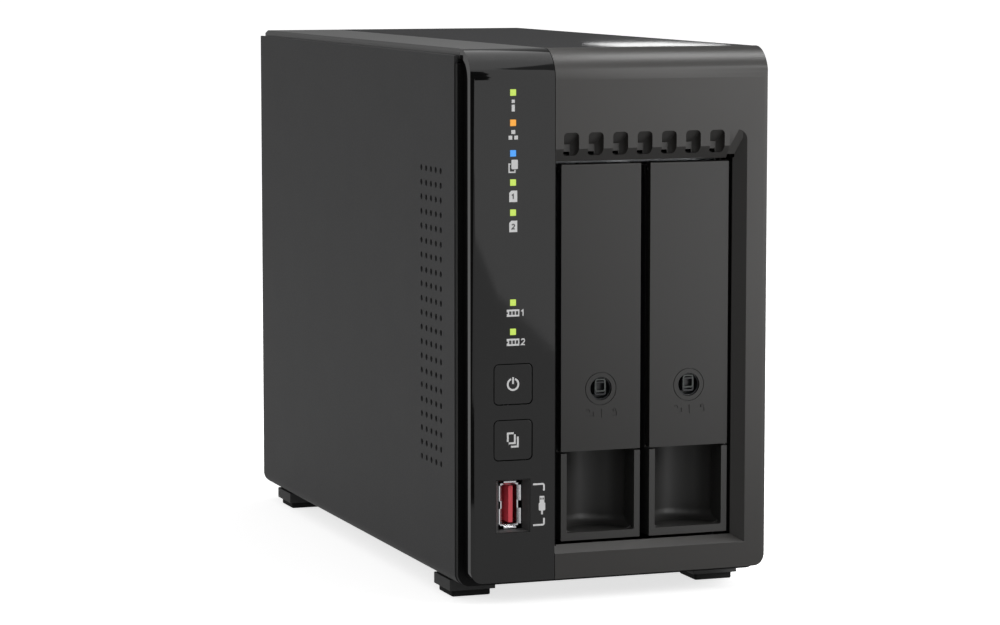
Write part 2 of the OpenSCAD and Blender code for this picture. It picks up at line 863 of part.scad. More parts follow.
module tray_lock(x) {
    barrel_front = plate_front + 0.5;
    barrel_back = block_front + lock_reach;
    barrel_wall = 0.35;
    moat_back = plate_front + 3.4;
    key_d = 1.6;
    key_wall = 0.6;
    key_r = 0.8;
    slot_half_w = key_w / 2 - key_wall;
    slot_half_h = key_h / 2 - key_wall;
    slot_r = 0.2;
    cam_w = 3;
    cam_t = 1.5;
    cam_tip = 0.4;
    color("#26282a") difference() {
        union() {
            rod_y(x, lock_z, lock_hole_d / 2, barrel_front, barrel_back);
            // Cam at the inner end
            block(x - cam_w / 2, x + cam_w / 2, barrel_back - cam_t, barrel_back, lock_z,
                lock_z + lock_d / 2 + cam_tip);
        }
        // Ditch that leaves a square key post
        difference() {
            rod_y(x, lock_z, lock_hole_d / 2 - barrel_wall, plate_front, moat_back);
            along_y(barrel_front, moat_back + 1) translate([x, lock_z])
                rounded(-key_w / 2, -key_h / 2, key_w / 2, key_h / 2, key_r);
        }
        along_y(plate_front, barrel_front + key_d) translate([x, lock_z])
            rounded(-slot_half_w, -slot_half_h, slot_half_w, slot_half_h, slot_r);
    }
}

pcb_t = 1.6;
pcb_len = 58;

module drive_case(x) {
    x0 = x - drive_t / 2;
    x1 = x + drive_t / 2;
    z0 = drive_z - drive_w / 2;
    z1 = drive_z + drive_w / 2;
    lid_t = 2.5;
    lid_inset = 2;
    lid_r = 8;
    case_r = 3;
    corner = 8;
    corner_l = 6;
    screw_r = 1.6;
    screw_deep = 4;
    room = 0.5;
    color("#a9adb1") difference() {
        union() {
            along_x(x0 + lid_t, x1 - pcb_t) rounded(drive_front, z0, drive_back, z1, case_r);
            along_x(x0, x0 + lid_t) rounded(drive_front + lid_inset, z0 + lid_inset,
                drive_back - lid_inset, z1 - lid_inset, lid_r);
            for (y = [drive_front + corner_l, drive_back - 2 * corner_l], z = [z0, z1 - corner])
                block(x1 - pcb_t - eps, x1, y, y + corner_l, z, z + corner);
        }
        block(socket_x(x) - room, x1 + 1, drive_back - plug_in - 1, drive_back + 1,
            socket_z - room, socket_z + connector_len + room);
        for (y = [drive_front + 28, drive_front + 70, drive_back - 18], z = [z0 - 1, z1 - screw_deep])
            translate([x1 - 6.5, y, z]) cylinder(r = screw_r, h = screw_deep + 1);
    }
}

module drive_board(x) {
    x1 = x + drive_t / 2;
    half_h = drive_w / 2 - 12;
    board_end = drive_back - plug_in - 1.5;
    chip_t = 0.4;
    main_chip = 7;
    color("#1f5a38") union() {
        block(x1 - pcb_t, x1 - chip_t, drive_back - pcb_len, board_end, drive_z - half_h, drive_z + half_h);
        block(x1 - chip_t, x1, drive_back - 40, drive_back - 26, drive_z - main_chip, drive_z + main_chip);
        block(x1 - chip_t, x1, drive_back - 20, drive_back - 12, drive_z + 14, drive_z + 24);
    }
}

module tray_1_carrier() { tray_carrier(tray_1_x); }
module tray_1_handle() { tray_handle(tray_1_x); }
module tray_1_hinge_pin() { hinge_pin(tray_1_x); }
module tray_1_lock() { tray_lock(tray_1_x); }
module drive_1_case() { drive_case(tray_1_x); }
module drive_1_board() { drive_board(tray_1_x); }
module tray_2_carrier() { tray_carrier(tray_2_x); }
module tray_2_handle() { tray_handle(tray_2_x); }
module tray_2_hinge_pin() { hinge_pin(tray_2_x); }
module tray_2_lock() { tray_lock(tray_2_x); }
module drive_2_case() { drive_case(tray_2_x); }
module drive_2_board() { drive_board(tray_2_x); }

// Rear

// Rear sockets stand in one column, each at its own height
lan_z = [74, 94];
usb_rear_z = [132, 148];
display_z = 114;
inlet_z = 24;
reset_z = 44;
slot_z = 55;
jack_w = 13.5;
lan_h = 16;
lan_l = 21;
port_x = jack_x + jack_w / 2;
usb_port_w = 7;
usb_port_h = 14.5;
display_w = 6;
display_h = 15;
inlet_r = 5.4;
inlet_box = 12;
reset_x = port_x;
reset_r = 1.4;
lock_slot = [3, 7];

module grille_openings() {
    rings = 7;
    hub = 9;
    ring_scale = 1.35;
    step = (grille_rib + grille_slot) / ring_scale;
    slot = grille_slot / ring_scale;
    along_y(panel_in - 1, panel_out + 1) difference() {
        translate([fan_x, fan_z]) for (i = [0 : rings - 1]) {
            r0 = hub + i * step;
            if (r0 + slot < fan_bore_r) difference() {
                circle(r = r0 + slot);
                circle(r = r0);
            }
        }
        for (a = [0 : 45 : 135])
            translate([fan_x, fan_z]) rotate(a) translate([-fan_bore_r - 1, -grille_rib / 2])
                square([2 * fan_bore_r + 2, grille_rib]);
    }
}

module rear_panel() {
    top = top_base_low - part_gap;
    low = floor_z + part_gap;
    clear = 0.3;
    foot_tab = 9;
    half = inner_w - part_gap;
    hole_r = 2;
    slot_r = 0.8;
    fan_half = fan_screw_pitch / 2;
    color("#3c3c3c") difference() {
        union() {
            along_y(panel_in, panel_out) round_bottom(half, low, top, bend_r - sheet);
            block(-half + bend_r, half - bend_r, panel_in - foot_tab, panel_in, low, low + sheet);
        }
        grille_openings();
        for (sx = [-1, 1], sz = [-1, 1])
            rod_y(fan_x + sx * fan_half, fan_z + sz * fan_half, hole_r, panel_in - 1, panel_out + 1);
        for (z = lan_z)
            block(port_x - jack_w / 2 - clear, port_x + jack_w / 2 + clear, panel_in - 1, panel_out + 1,
                z - lan_h / 2 - clear, z + lan_h / 2 + clear);
        for (z = usb_rear_z)
            block(port_x - usb_port_w / 2 - clear, port_x + usb_port_w / 2 + clear,
                panel_in - 1, panel_out + 1, z - usb_port_h / 2 - clear, z + usb_port_h / 2 + clear);
        block(port_x - display_w / 2 - clear, port_x + display_w / 2 + clear, panel_in - 1, panel_out + 1,
            display_z - display_h / 2 - clear, display_z + display_h / 2 + clear);
        rod_y(port_x, inlet_z, inlet_r + clear, panel_in - 1, panel_out + 1);
        rod_y(reset_x, reset_z, reset_r + clear, panel_in - 1, panel_out + 1);
        along_y(panel_in - 1, panel_out + 1) rounded(port_x - lock_slot[0] / 2, slot_z - lock_slot[1] / 2,
            port_x + lock_slot[0] / 2, slot_z + lock_slot[1] / 2, slot_r);
    }
}

// Cross recess in a screw's head
module cross_recess(x, z, reach) {
    half = 0.35;
    front = panel_out + 0.4;
    block(x - reach, x + reach, front, panel_out + 2, z - half, z + half);
    block(x - half, x + half, front, panel_out + 2, z - reach, z + reach);
}

head_t = 0.9;

module rear_screws() {
    head_r = 2.6;
    recess = 1.6;
    inset = 4.5;
    z_low = floor_z + 6;
    z_high = top_base_low - 7;
    color("#202020") for (x = [-inner_w + inset, inner_w - inset], z = [z_low, z_high]) difference() {
        rod_y(x, z, head_r, panel_out, panel_out + head_t);
        cross_recess(x, z, recess);
    }
}

module fan_screws() {
    head_r = 3.2;
    thread_r = 1.8;
    thread_l = 8;
    recess = 1.8;
    color("#202020")
        for (sx = [-1, 1], sz = [-1, 1]) {
            x = fan_x + sx * fan_screw_pitch / 2;
            z = fan_z + sz * fan_screw_pitch / 2;
            difference() {
                union() {
                    rod_y(x, z, head_r, panel_out, panel_out + head_t);
                    rod_y(x, z, thread_r, panel_in - thread_l, panel_out + eps);
                }
                cross_recess(x, z, recess);
            }
        }
}

fan_base_y = panel_in - 5;
motor_r = fan_hub_r + 1;

module fan_frame() {
    corner_r = 3;
    arm_t = 3.5;
    arm_half = 1.5;
    hole_r = 1.8;
    fan_half = fan_screw_pitch / 2;
    color("#1c1c1c") difference() {
        union() {
            along_y(fan_front, panel_in) difference() {
                rounded(fan_x - fan_w / 2, fan_z - fan_w / 2, fan_x + fan_w / 2, fan_z + fan_w / 2, corner_r);
                translate([fan_x, fan_z]) circle(r = fan_bore_r);
            }
            rod_y(fan_x, fan_z, motor_r, fan_base_y, panel_in - 1);
            for (a = [20 : 90 : 290])
                translate([fan_x, 0, fan_z]) rotate([0, a, 0])
                    block(motor_r - 1, fan_bore_r + 1, fan_base_y, fan_base_y + arm_t, -arm_half, arm_half);
        }
        rod_y(fan_x, fan_z, fan_shaft_r + run_gap, fan_base_y - 1, panel_in - 2);
        for (sx = [-1, 1], sz = [-1, 1])
            rod_y(fan_x + sx * fan_half, fan_z + sz * fan_half, hole_r, fan_front - 1, panel_in + 1);
    }
}

module fan_rotor() {
    hub_front = fan_front + 2;
    hub_back = fan_base_y - 0.6;
    tip_r = fan_bore_r - 1;
    blade_pitch = 45;
    chord = 0.62 * (hub_back - hub_front) / cos(blade_pitch);
    blade_t = 1.2;
    color("#2a2a2a") union() {
        rod_y(fan_x, fan_z, fan_hub_r, hub_front, hub_back);
        rod_y(fan_x, fan_z, fan_shaft_r, hub_back - eps, panel_in - 2.5);
        intersection() {
            translate([fan_x, (hub_front + hub_back) / 2, fan_z])
                for (i = [0 : blades - 1])
                    rotate([0, i * 360 / blades, 0]) rotate([blade_pitch, 0, 0])
                        translate([fan_hub_r - 2, -chord / 2, -blade_t / 2])
                            cube([tip_r - fan_hub_r + 4, chord, blade_t]);
            rod_y(fan_x, fan_z, tip_r, hub_front, hub_back);
        }
    }
}

// Mainboard and what is on it

cpu_y = (board_front + board_back) / 2 - 12;
cpu_z = 110;
cpu_w = 24;
cpu_t = 2;
sink_w = 58;
memory_y = cpu_y + 6;
ssd_y = board_front + 18;
battery_y = board_back - 36;

module mainboard() {
    color("#1f5a38") block(board_x, board_face, board_front, board_back, board_low, board_high);
}

module board_standoffs() {
    post_r = 2.5;
    inset = 5;
    color("#c8a850") for (y = [board_front + 8, board_back - 30], z = [board_low + inset, board_high - inset])
        rod_x(y, z, post_r, -inner_w, board_x);
}

module processor() {
    color("#9aa0a6") block(board_face, board_face + cpu_t, cpu_y - cpu_w / 2, cpu_y + cpu_w / 2,
        cpu_z - cpu_w / 2, cpu_z + cpu_w / 2);
}

module heatsink() {
    base_t = 3;
    fin_h = 10;
    fins = 12;
    fin_t = 1.4;
    x0 = board_face + cpu_t;
    half = sink_w / 2;
    pitch = (sink_w - fin_t) / (fins - 1);
    color("#b9bdc1") union() {
        block(x0, x0 + base_t, cpu_y - half, cpu_y + half, cpu_z - half, cpu_z + half);
        for (i = [0 : fins - 1]) {
            z = cpu_z - half + i * pitch;
            block(x0 + base_t - eps, x0 + base_t + fin_h, cpu_y - half, cpu_y + half, z, z + fin_t);
        }
    }
}

memory_len = 69.6;
memory_h = 30;
memory_t = 1.2;
memory_low = 40;
memory_plug = 4;
memory_xs = [board_face + 3, board_face + 8];

module memory_sockets() {
    depth = 10.4;
    height = 8;
    half_l = memory_len / 2 + 3;
    color("#222222") block(board_face, board_face + depth, memory_y - half_l, memory_y + half_l,
        memory_low - height, memory_low);
}

module memory_modules() {
    color("#1b6b3a") for (x = memory_xs)
        block(x, x + memory_t, memory_y - memory_len / 2, memory_y + memory_len / 2,
            memory_low, memory_low + memory_h - memory_plug);
}

ssd_w = 22;
ssd_len = 80;
ssd_low = 52;
ssd_x = board_face + 2.6;
ssd_ys = [ssd_y, ssd_y + ssd_w + 3];

module ssd_sockets() {
    depth = 4.2;
    height = 7;
    color("#222222") for (y = ssd_ys)
        block(board_face, board_face + depth, y - ssd_w / 2, y + ssd_w / 2, ssd_low - height, ssd_low);
}

module ssd_module(y) {
    module_t = 0.8;
    chip_top = ssd_x + 2;
    chip_half = 8;
    chip_l = 14;
    color("#1b6b3a") block(ssd_x, ssd_x + module_t, y - ssd_w / 2, y + ssd_w / 2, ssd_low, ssd_low + ssd_len);
    color("#1a1a1a") for (z = [ssd_low + 10, ssd_low + 32, ssd_low + 54])
        block(ssd_x + module_t - eps, chip_top, y - chip_half, y + chip_half, z, z + chip_l);
}

module ssd_module_1() { ssd_module(ssd_ys[0]); }
module ssd_module_2() { ssd_module(ssd_ys[1]); }

module clock_battery() {
    battery_z = 34;
    battery_r = 10;
    battery_t = 3.2;
    color("#c9c9cc") rod_x(battery_y, battery_z, battery_r, board_face, board_face + battery_t);
}

port_front = panel_out + 0.2;

module network_jacks() {
    mouth = [8.2, 11.8];
    mouth_x = port_x + mouth[0] / 2;
    mouth_d = 14;
    latch_w = 1.6;
    latch_half = 3;
    color("#b9bbbd") for (z = lan_z) difference() {
        block(jack_x, jack_x + jack_w, port_front - lan_l, port_front, z - lan_h / 2, z + lan_h / 2);
        block(port_x - mouth[0] / 2, mouth_x, port_front - mouth_d, port_front + 1,
            z - mouth[1] / 2, z + mouth[1] / 2);
        block(mouth_x - eps, mouth_x + latch_w, port_front - mouth_d, port_front + 1,
            z - latch_half, z + latch_half);
    }
}

// Metal can of a port with the tongue inside, and its foot to the mainboard
module port_can(z, w, h, len) {
    wall = 0.5;
    tongue = 1.8;
    root = 3;
    tongue_gap = 0.4;
    tongue_setback = 1.2;
    difference() {
        block(port_x - w / 2, port_x + w / 2, port_front - len, port_front, z - h / 2, z + h / 2);
        difference() {
            block(port_x - w / 2 + wall, port_x + w / 2 - wall, port_front - len + root, port_front + 1,
                z - h / 2 + wall, z + h / 2 - wall);
            block(port_x - w / 2, port_x - w / 2 + wall + tongue + tongue_gap, port_front - len,
                port_front - tongue_setback, z - h / 2 + wall + 1, z + h / 2 - wall - 1);
        }
    }
    block(jack_x, port_x - w / 2 + wall, port_front - len + 1, port_front - root,
        z - h / 2 + 1, z + h / 2 - 1);
}

module rear_usb_ports() {
    color("#c9c9cc") for (z = usb_rear_z) port_can(z, usb_port_w, usb_port_h, 16);
}

module display_ports() {
    color("#c9c9cc") port_can(display_z, display_w, display_h, 12);
}

module power_inlet() {
    box_l = 13;
    bore_r = 3.2;
    bore_d = 10;
    pin_core_r = 1.25;
    color("#1a1a1a") difference() {
        union() {
            block(jack_x, jack_x + jack_w, panel_in - part_gap - box_l, panel_in - part_gap,
                inlet_z - inlet_box / 2, inlet_z + inlet_box / 2);
            rod_y(port_x, inlet_z, inlet_r, panel_in - 2, port_front);
        }
        difference() {
            rod_y(port_x, inlet_z, bore_r, port_front - bore_d, port_front + 1);
            rod_y(port_x, inlet_z, pin_core_r, port_front - bore_d - 2, port_front - 1);
        }
    }
}

reset_back = panel_in - 4;

module reset_button() {
    collar = 0.8;
    collar_y = panel_in - 1.5;
    color("#303030") union() {
        rod_y(reset_x, reset_z, reset_r, collar_y, panel_out + 0.1);
        rod_y(reset_x, reset_z, reset_r + collar, reset_back, collar_y + eps);
    }
}

module reset_switch() {
    gap = 0.1;
    half = 3;
    length = 6;
    stem = 1.5;
    dome_r = 1.2;
    tip = reset_back - button_travel - gap;
    color("#8a8a8a") union() {
        block(jack_x, reset_x + half, reset_back - length, tip - stem, reset_z - half, reset_z + half);
        rod_y(reset_x, reset_z, dome_r, reset_back - length, tip);
    }
}

outer_shell();
top_cover();
top_trim_strip();
bezel_frame();
front_bezel();
led_panel();
green_lights();
network_light();
copy_light();
power_button();
copy_button();
button_switches();
front_board();
front_usb_shell();
front_usb_tongue();
front_usb_board();
foot_brackets();
foot_pads();
cage_left_wall();
cage_right_wall();
cage_floor();
cage_roof();
cage_screws();
backplane_board();
drive_connectors();
tray_1_carrier();
tray_1_handle();
tray_1_hinge_pin();
tray_1_lock();
drive_1_case();
drive_1_board();
tray_2_carrier();
tray_2_handle();
tray_2_hinge_pin();
tray_2_lock();
drive_2_case();
drive_2_board();
rear_panel();
rear_screws();
fan_frame();
fan_rotor();
fan_screws();
mainboard();
board_standoffs();
processor();
heatsink();
memory_sockets();
memory_modules();
ssd_sockets();
ssd_module_1();
ssd_module_2();
clock_battery();
network_jacks();
rear_usb_ports();
display_ports();
power_inlet();
reset_button();
reset_switch();
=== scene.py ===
import math
import bmesh
import bpy
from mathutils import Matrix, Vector


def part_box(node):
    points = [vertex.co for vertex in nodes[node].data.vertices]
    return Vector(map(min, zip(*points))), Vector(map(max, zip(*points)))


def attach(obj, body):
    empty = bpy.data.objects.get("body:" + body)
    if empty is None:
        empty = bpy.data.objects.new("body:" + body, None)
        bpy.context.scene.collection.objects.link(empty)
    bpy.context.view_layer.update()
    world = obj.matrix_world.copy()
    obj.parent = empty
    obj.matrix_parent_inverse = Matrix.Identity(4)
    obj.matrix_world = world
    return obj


# Upright two-bay network storage box, dressed for a plain studio shot.
# The solids come in with the frame. Here they get their finishes and softened edges,
# and the prints, contacts, lamps and labels that are too fine for them.

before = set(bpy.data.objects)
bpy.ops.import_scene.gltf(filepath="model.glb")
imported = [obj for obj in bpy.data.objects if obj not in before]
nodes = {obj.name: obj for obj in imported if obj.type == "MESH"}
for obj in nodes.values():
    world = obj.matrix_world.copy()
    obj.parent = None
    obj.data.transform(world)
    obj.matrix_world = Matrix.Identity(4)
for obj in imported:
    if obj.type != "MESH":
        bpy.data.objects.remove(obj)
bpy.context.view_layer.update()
scene = bpy.context.scene
mm = 0.001
print("frame in:", len(nodes), "solids' nodes")


# Node helpers: a keyword is a setting of the node if it has one of that name, else an input
def addNode(tree, kind, **values):
    node = tree.nodes.new(kind)
    for name, value in values.items():
        if hasattr(node, name):
            setattr(node, name, value)
        else:
            node.inputs[name].default_value = value
    return node


def link(tree, a, out, b, into):
    tree.links.new(a.outputs[out], b.inputs[into])


def newMaterial(name):
    material = bpy.data.materials.new(name)
    material.use_nodes = True
    tree = material.node_tree
    tree.nodes.clear()
    shader = addNode(tree, "ShaderNodeBsdfPrincipled")
    output = addNode(tree, "ShaderNodeOutputMaterial")
    link(tree, shader, "BSDF", output, "Surface")
    return material, tree, shader


# One colour at 0, another at 1
def rampMix(tree, factorNode, factorOut, low, high):
    mix = addNode(tree, "ShaderNodeMix", data_type="RGBA")
    mix.inputs[6].default_value = (*low, 1)
    mix.inputs[7].default_value = (*high, 1)
    link(tree, factorNode, factorOut, mix, 0)
    return mix


def shade(colour, amount):
    return tuple(max(0.0, min(1.0, c * amount)) for c in colour)


def grainTexture(tree, size, detail=3.0, stretch=(1, 1, 1), rough=0.55):
    coords = addNode(tree, "ShaderNodeTexCoord")
    place = addNode(tree, "ShaderNodeMapping")
    place.inputs["Scale"].default_value = stretch
    noise = addNode(tree, "ShaderNodeTexNoise", Scale=1 / (size * mm), Detail=detail, Roughness=rough)
    link(tree, coords, "Object", place, "Vector")
    link(tree, place, "Vector", noise, "Vector")
    return noise


def mapRange(tree, node, out, fromLow, fromHigh, toLow, toHigh):
    ranged = addNode(tree, "ShaderNodeMapRange")
    for key, value in (("From Min", fromLow), ("From Max", fromHigh), ("To Min", toLow), ("To Max", toHigh)):
        ranged.inputs[key].default_value = value
    link(tree, node, out, ranged, "Value")
    return ranged


# How alike the rounded and the true normal are where wear begins and where it is full
wornEdge = {"begins": 0.995, "full": 0.86, "samples": 4}


# 0 on a face, rising to 1 where the surface turns over an edge
def edgeMask(tree, width):
    rounded = addNode(tree, "ShaderNodeBevel", samples=wornEdge["samples"], Radius=width * mm)
    flat = addNode(tree, "ShaderNodeNewGeometry")
    dot = addNode(tree, "ShaderNodeVectorMath", operation="DOT_PRODUCT")
    link(tree, rounded, "Normal", dot, 0)
    link(tree, flat, "Normal", dot, 1)
    return mapRange(tree, dot, "Value", wornEdge["begins"], wornEdge["full"], 0.0, 1.0)


# What a finish has when its look doesn't say otherwise; sizes in mm
plainLook = {"cloud": 18, "wear": 0.0, "wearWidth": 0.35, "scuff": 1.6, "scuffLeast": 0.35, "wornShade": 1.9,
             "detail": 3, "stretch": (1, 1, 1), "bumpStrength": 0.5, "metal": 0.0, "specular": 0.5,
             "coat": 0.0, "coatRough": 0.03}


# One moulded, painted, rubber or metal skin: mottled colour, uneven gloss, fine grain, paler worn edges
def surface(name, look):
    look = {**plainLook, **look}
    material, tree, shader = newMaterial(name)
    base = look["colour"]
    cloud = grainTexture(tree, look["cloud"], 4)
    tint = rampMix(tree, mapRange(tree, cloud, "Fac", 0.3, 0.7, 0, 1), "Result",
                   shade(base, 1 - look["mottle"]), shade(base, 1 + look["mottle"]))
    last = tint
    if look["wear"]:
        mask = edgeMask(tree, look["wearWidth"])
        scuff = grainTexture(tree, look["scuff"], 5)
        patchy = mapRange(tree, scuff, "Fac", 0.35, 0.65, look["scuffLeast"] * look["wear"], look["wear"])
        broken = addNode(tree, "ShaderNodeMath", operation="MULTIPLY")
        link(tree, mask, "Result", broken, 0)
        link(tree, patchy, "Result", broken, 1)
        last = addNode(tree, "ShaderNodeMix", data_type="RGBA")
        link(tree, broken, "Value", last, 0)
        link(tree, tint, 2, last, 6)
        last.inputs[7].default_value = (*look.get("wornColour", shade(base, look["wornShade"])), 1)
    link(tree, last, 2, shader, "Base Color")
    grain = grainTexture(tree, look["grain"], look["detail"], look["stretch"])
    gloss = mapRange(tree, grain, "Fac", 0.25, 0.75, look["rough"] - look["roughSpread"],
                     look["rough"] + look["roughSpread"])
    link(tree, gloss, "Result", shader, "Roughness")
    bump = addNode(tree, "ShaderNodeBump", Strength=look["bumpStrength"], Distance=look["depth"] * mm)
    link(tree, grain, "Fac", bump, "Height")
    link(tree, bump, "Normal", shader, "Normal")
    shader.inputs["Metallic"].default_value = look["metal"]
    shader.inputs["Specular IOR Level"].default_value = look["specular"]
    shader.inputs["Coat Weight"].default_value = look["coat"]
    shader.inputs["Coat Roughness"].default_value = look["coatRough"]
    return material


# Solder mask with copper runs showing through, and tinned pads
def circuitBoard(name, look):
    material, tree, shader = newMaterial(name)
    coords = addNode(tree, "ShaderNodeTexCoord")
    runs = addNode(tree, "ShaderNodeTexVoronoi", feature="DISTANCE_TO_EDGE", distance="CHEBYCHEV",
                   Scale=1 / (look["runPitch"] * mm))
    link(tree, coords, "Object", runs, "Vector")
    copper = mapRange(tree, runs, "Distance", 0.03, 0.06, 1, 0)
    masked = rampMix(tree, copper, "Result", look["mask"], look["run"])
    pads = addNode(tree, "ShaderNodeTexVoronoi", Scale=1 / (look["padPitch"] * mm))
    link(tree, coords, "Object", pads, "Vector")
    tin = mapRange(tree, pads, "Distance", 0.12, 0.16, 1, 0)
    final = addNode(tree, "ShaderNodeMix", data_type="RGBA")
    link(tree, tin, "Result", final, 0)
    link(tree, masked, 2, final, 6)
    final.inputs[7].default_value = (*look["tin"], 1)
    link(tree, final, 2, shader, "Base Color")
    gloss = mapRange(tree, tin, "Result", 0, 1, look["rough"], look["tinRough"])
    link(tree, gloss, "Result", shader, "Roughness")
    bump = addNode(tree, "ShaderNodeBump", Strength=0.6, Distance=look["runHeight"] * mm)
    link(tree, copper, "Result", bump, "Height")
    link(tree, bump, "Normal", shader, "Normal")
    return material


# Diffusing light pipe: a glow over a dark body of the same hue
def litPipe(name, look):
    material, tree, shader = newMaterial(name)
    cloud = grainTexture(tree, 0.5, 2)
    glow = rampMix(tree, mapRange(tree, cloud, "Fac", 0.3, 0.7, 0, 1), "Result",
                   shade(look["glow"], 0.92), look["glow"])
    link(tree, glow, 2, shader, "Emission Color")
    pipeBody = rampMix(tree, mapRange(tree, cloud, "Fac", 0.3, 0.7, 0, 1), "Result",
                       shade(look["glow"], 0.06), shade(look["glow"], 0.1))
    link(tree, pipeBody, 2, shader, "Base Color")
    link(tree, mapRange(tree, cloud, "Fac", 0.3, 0.7, 0.25, 0.4), "Result", shader, "Roughness")
    shader.inputs["Emission Strength"].default_value = look["power"]
    shader.inputs["Specular IOR Level"].default_value = 0.2
    return material


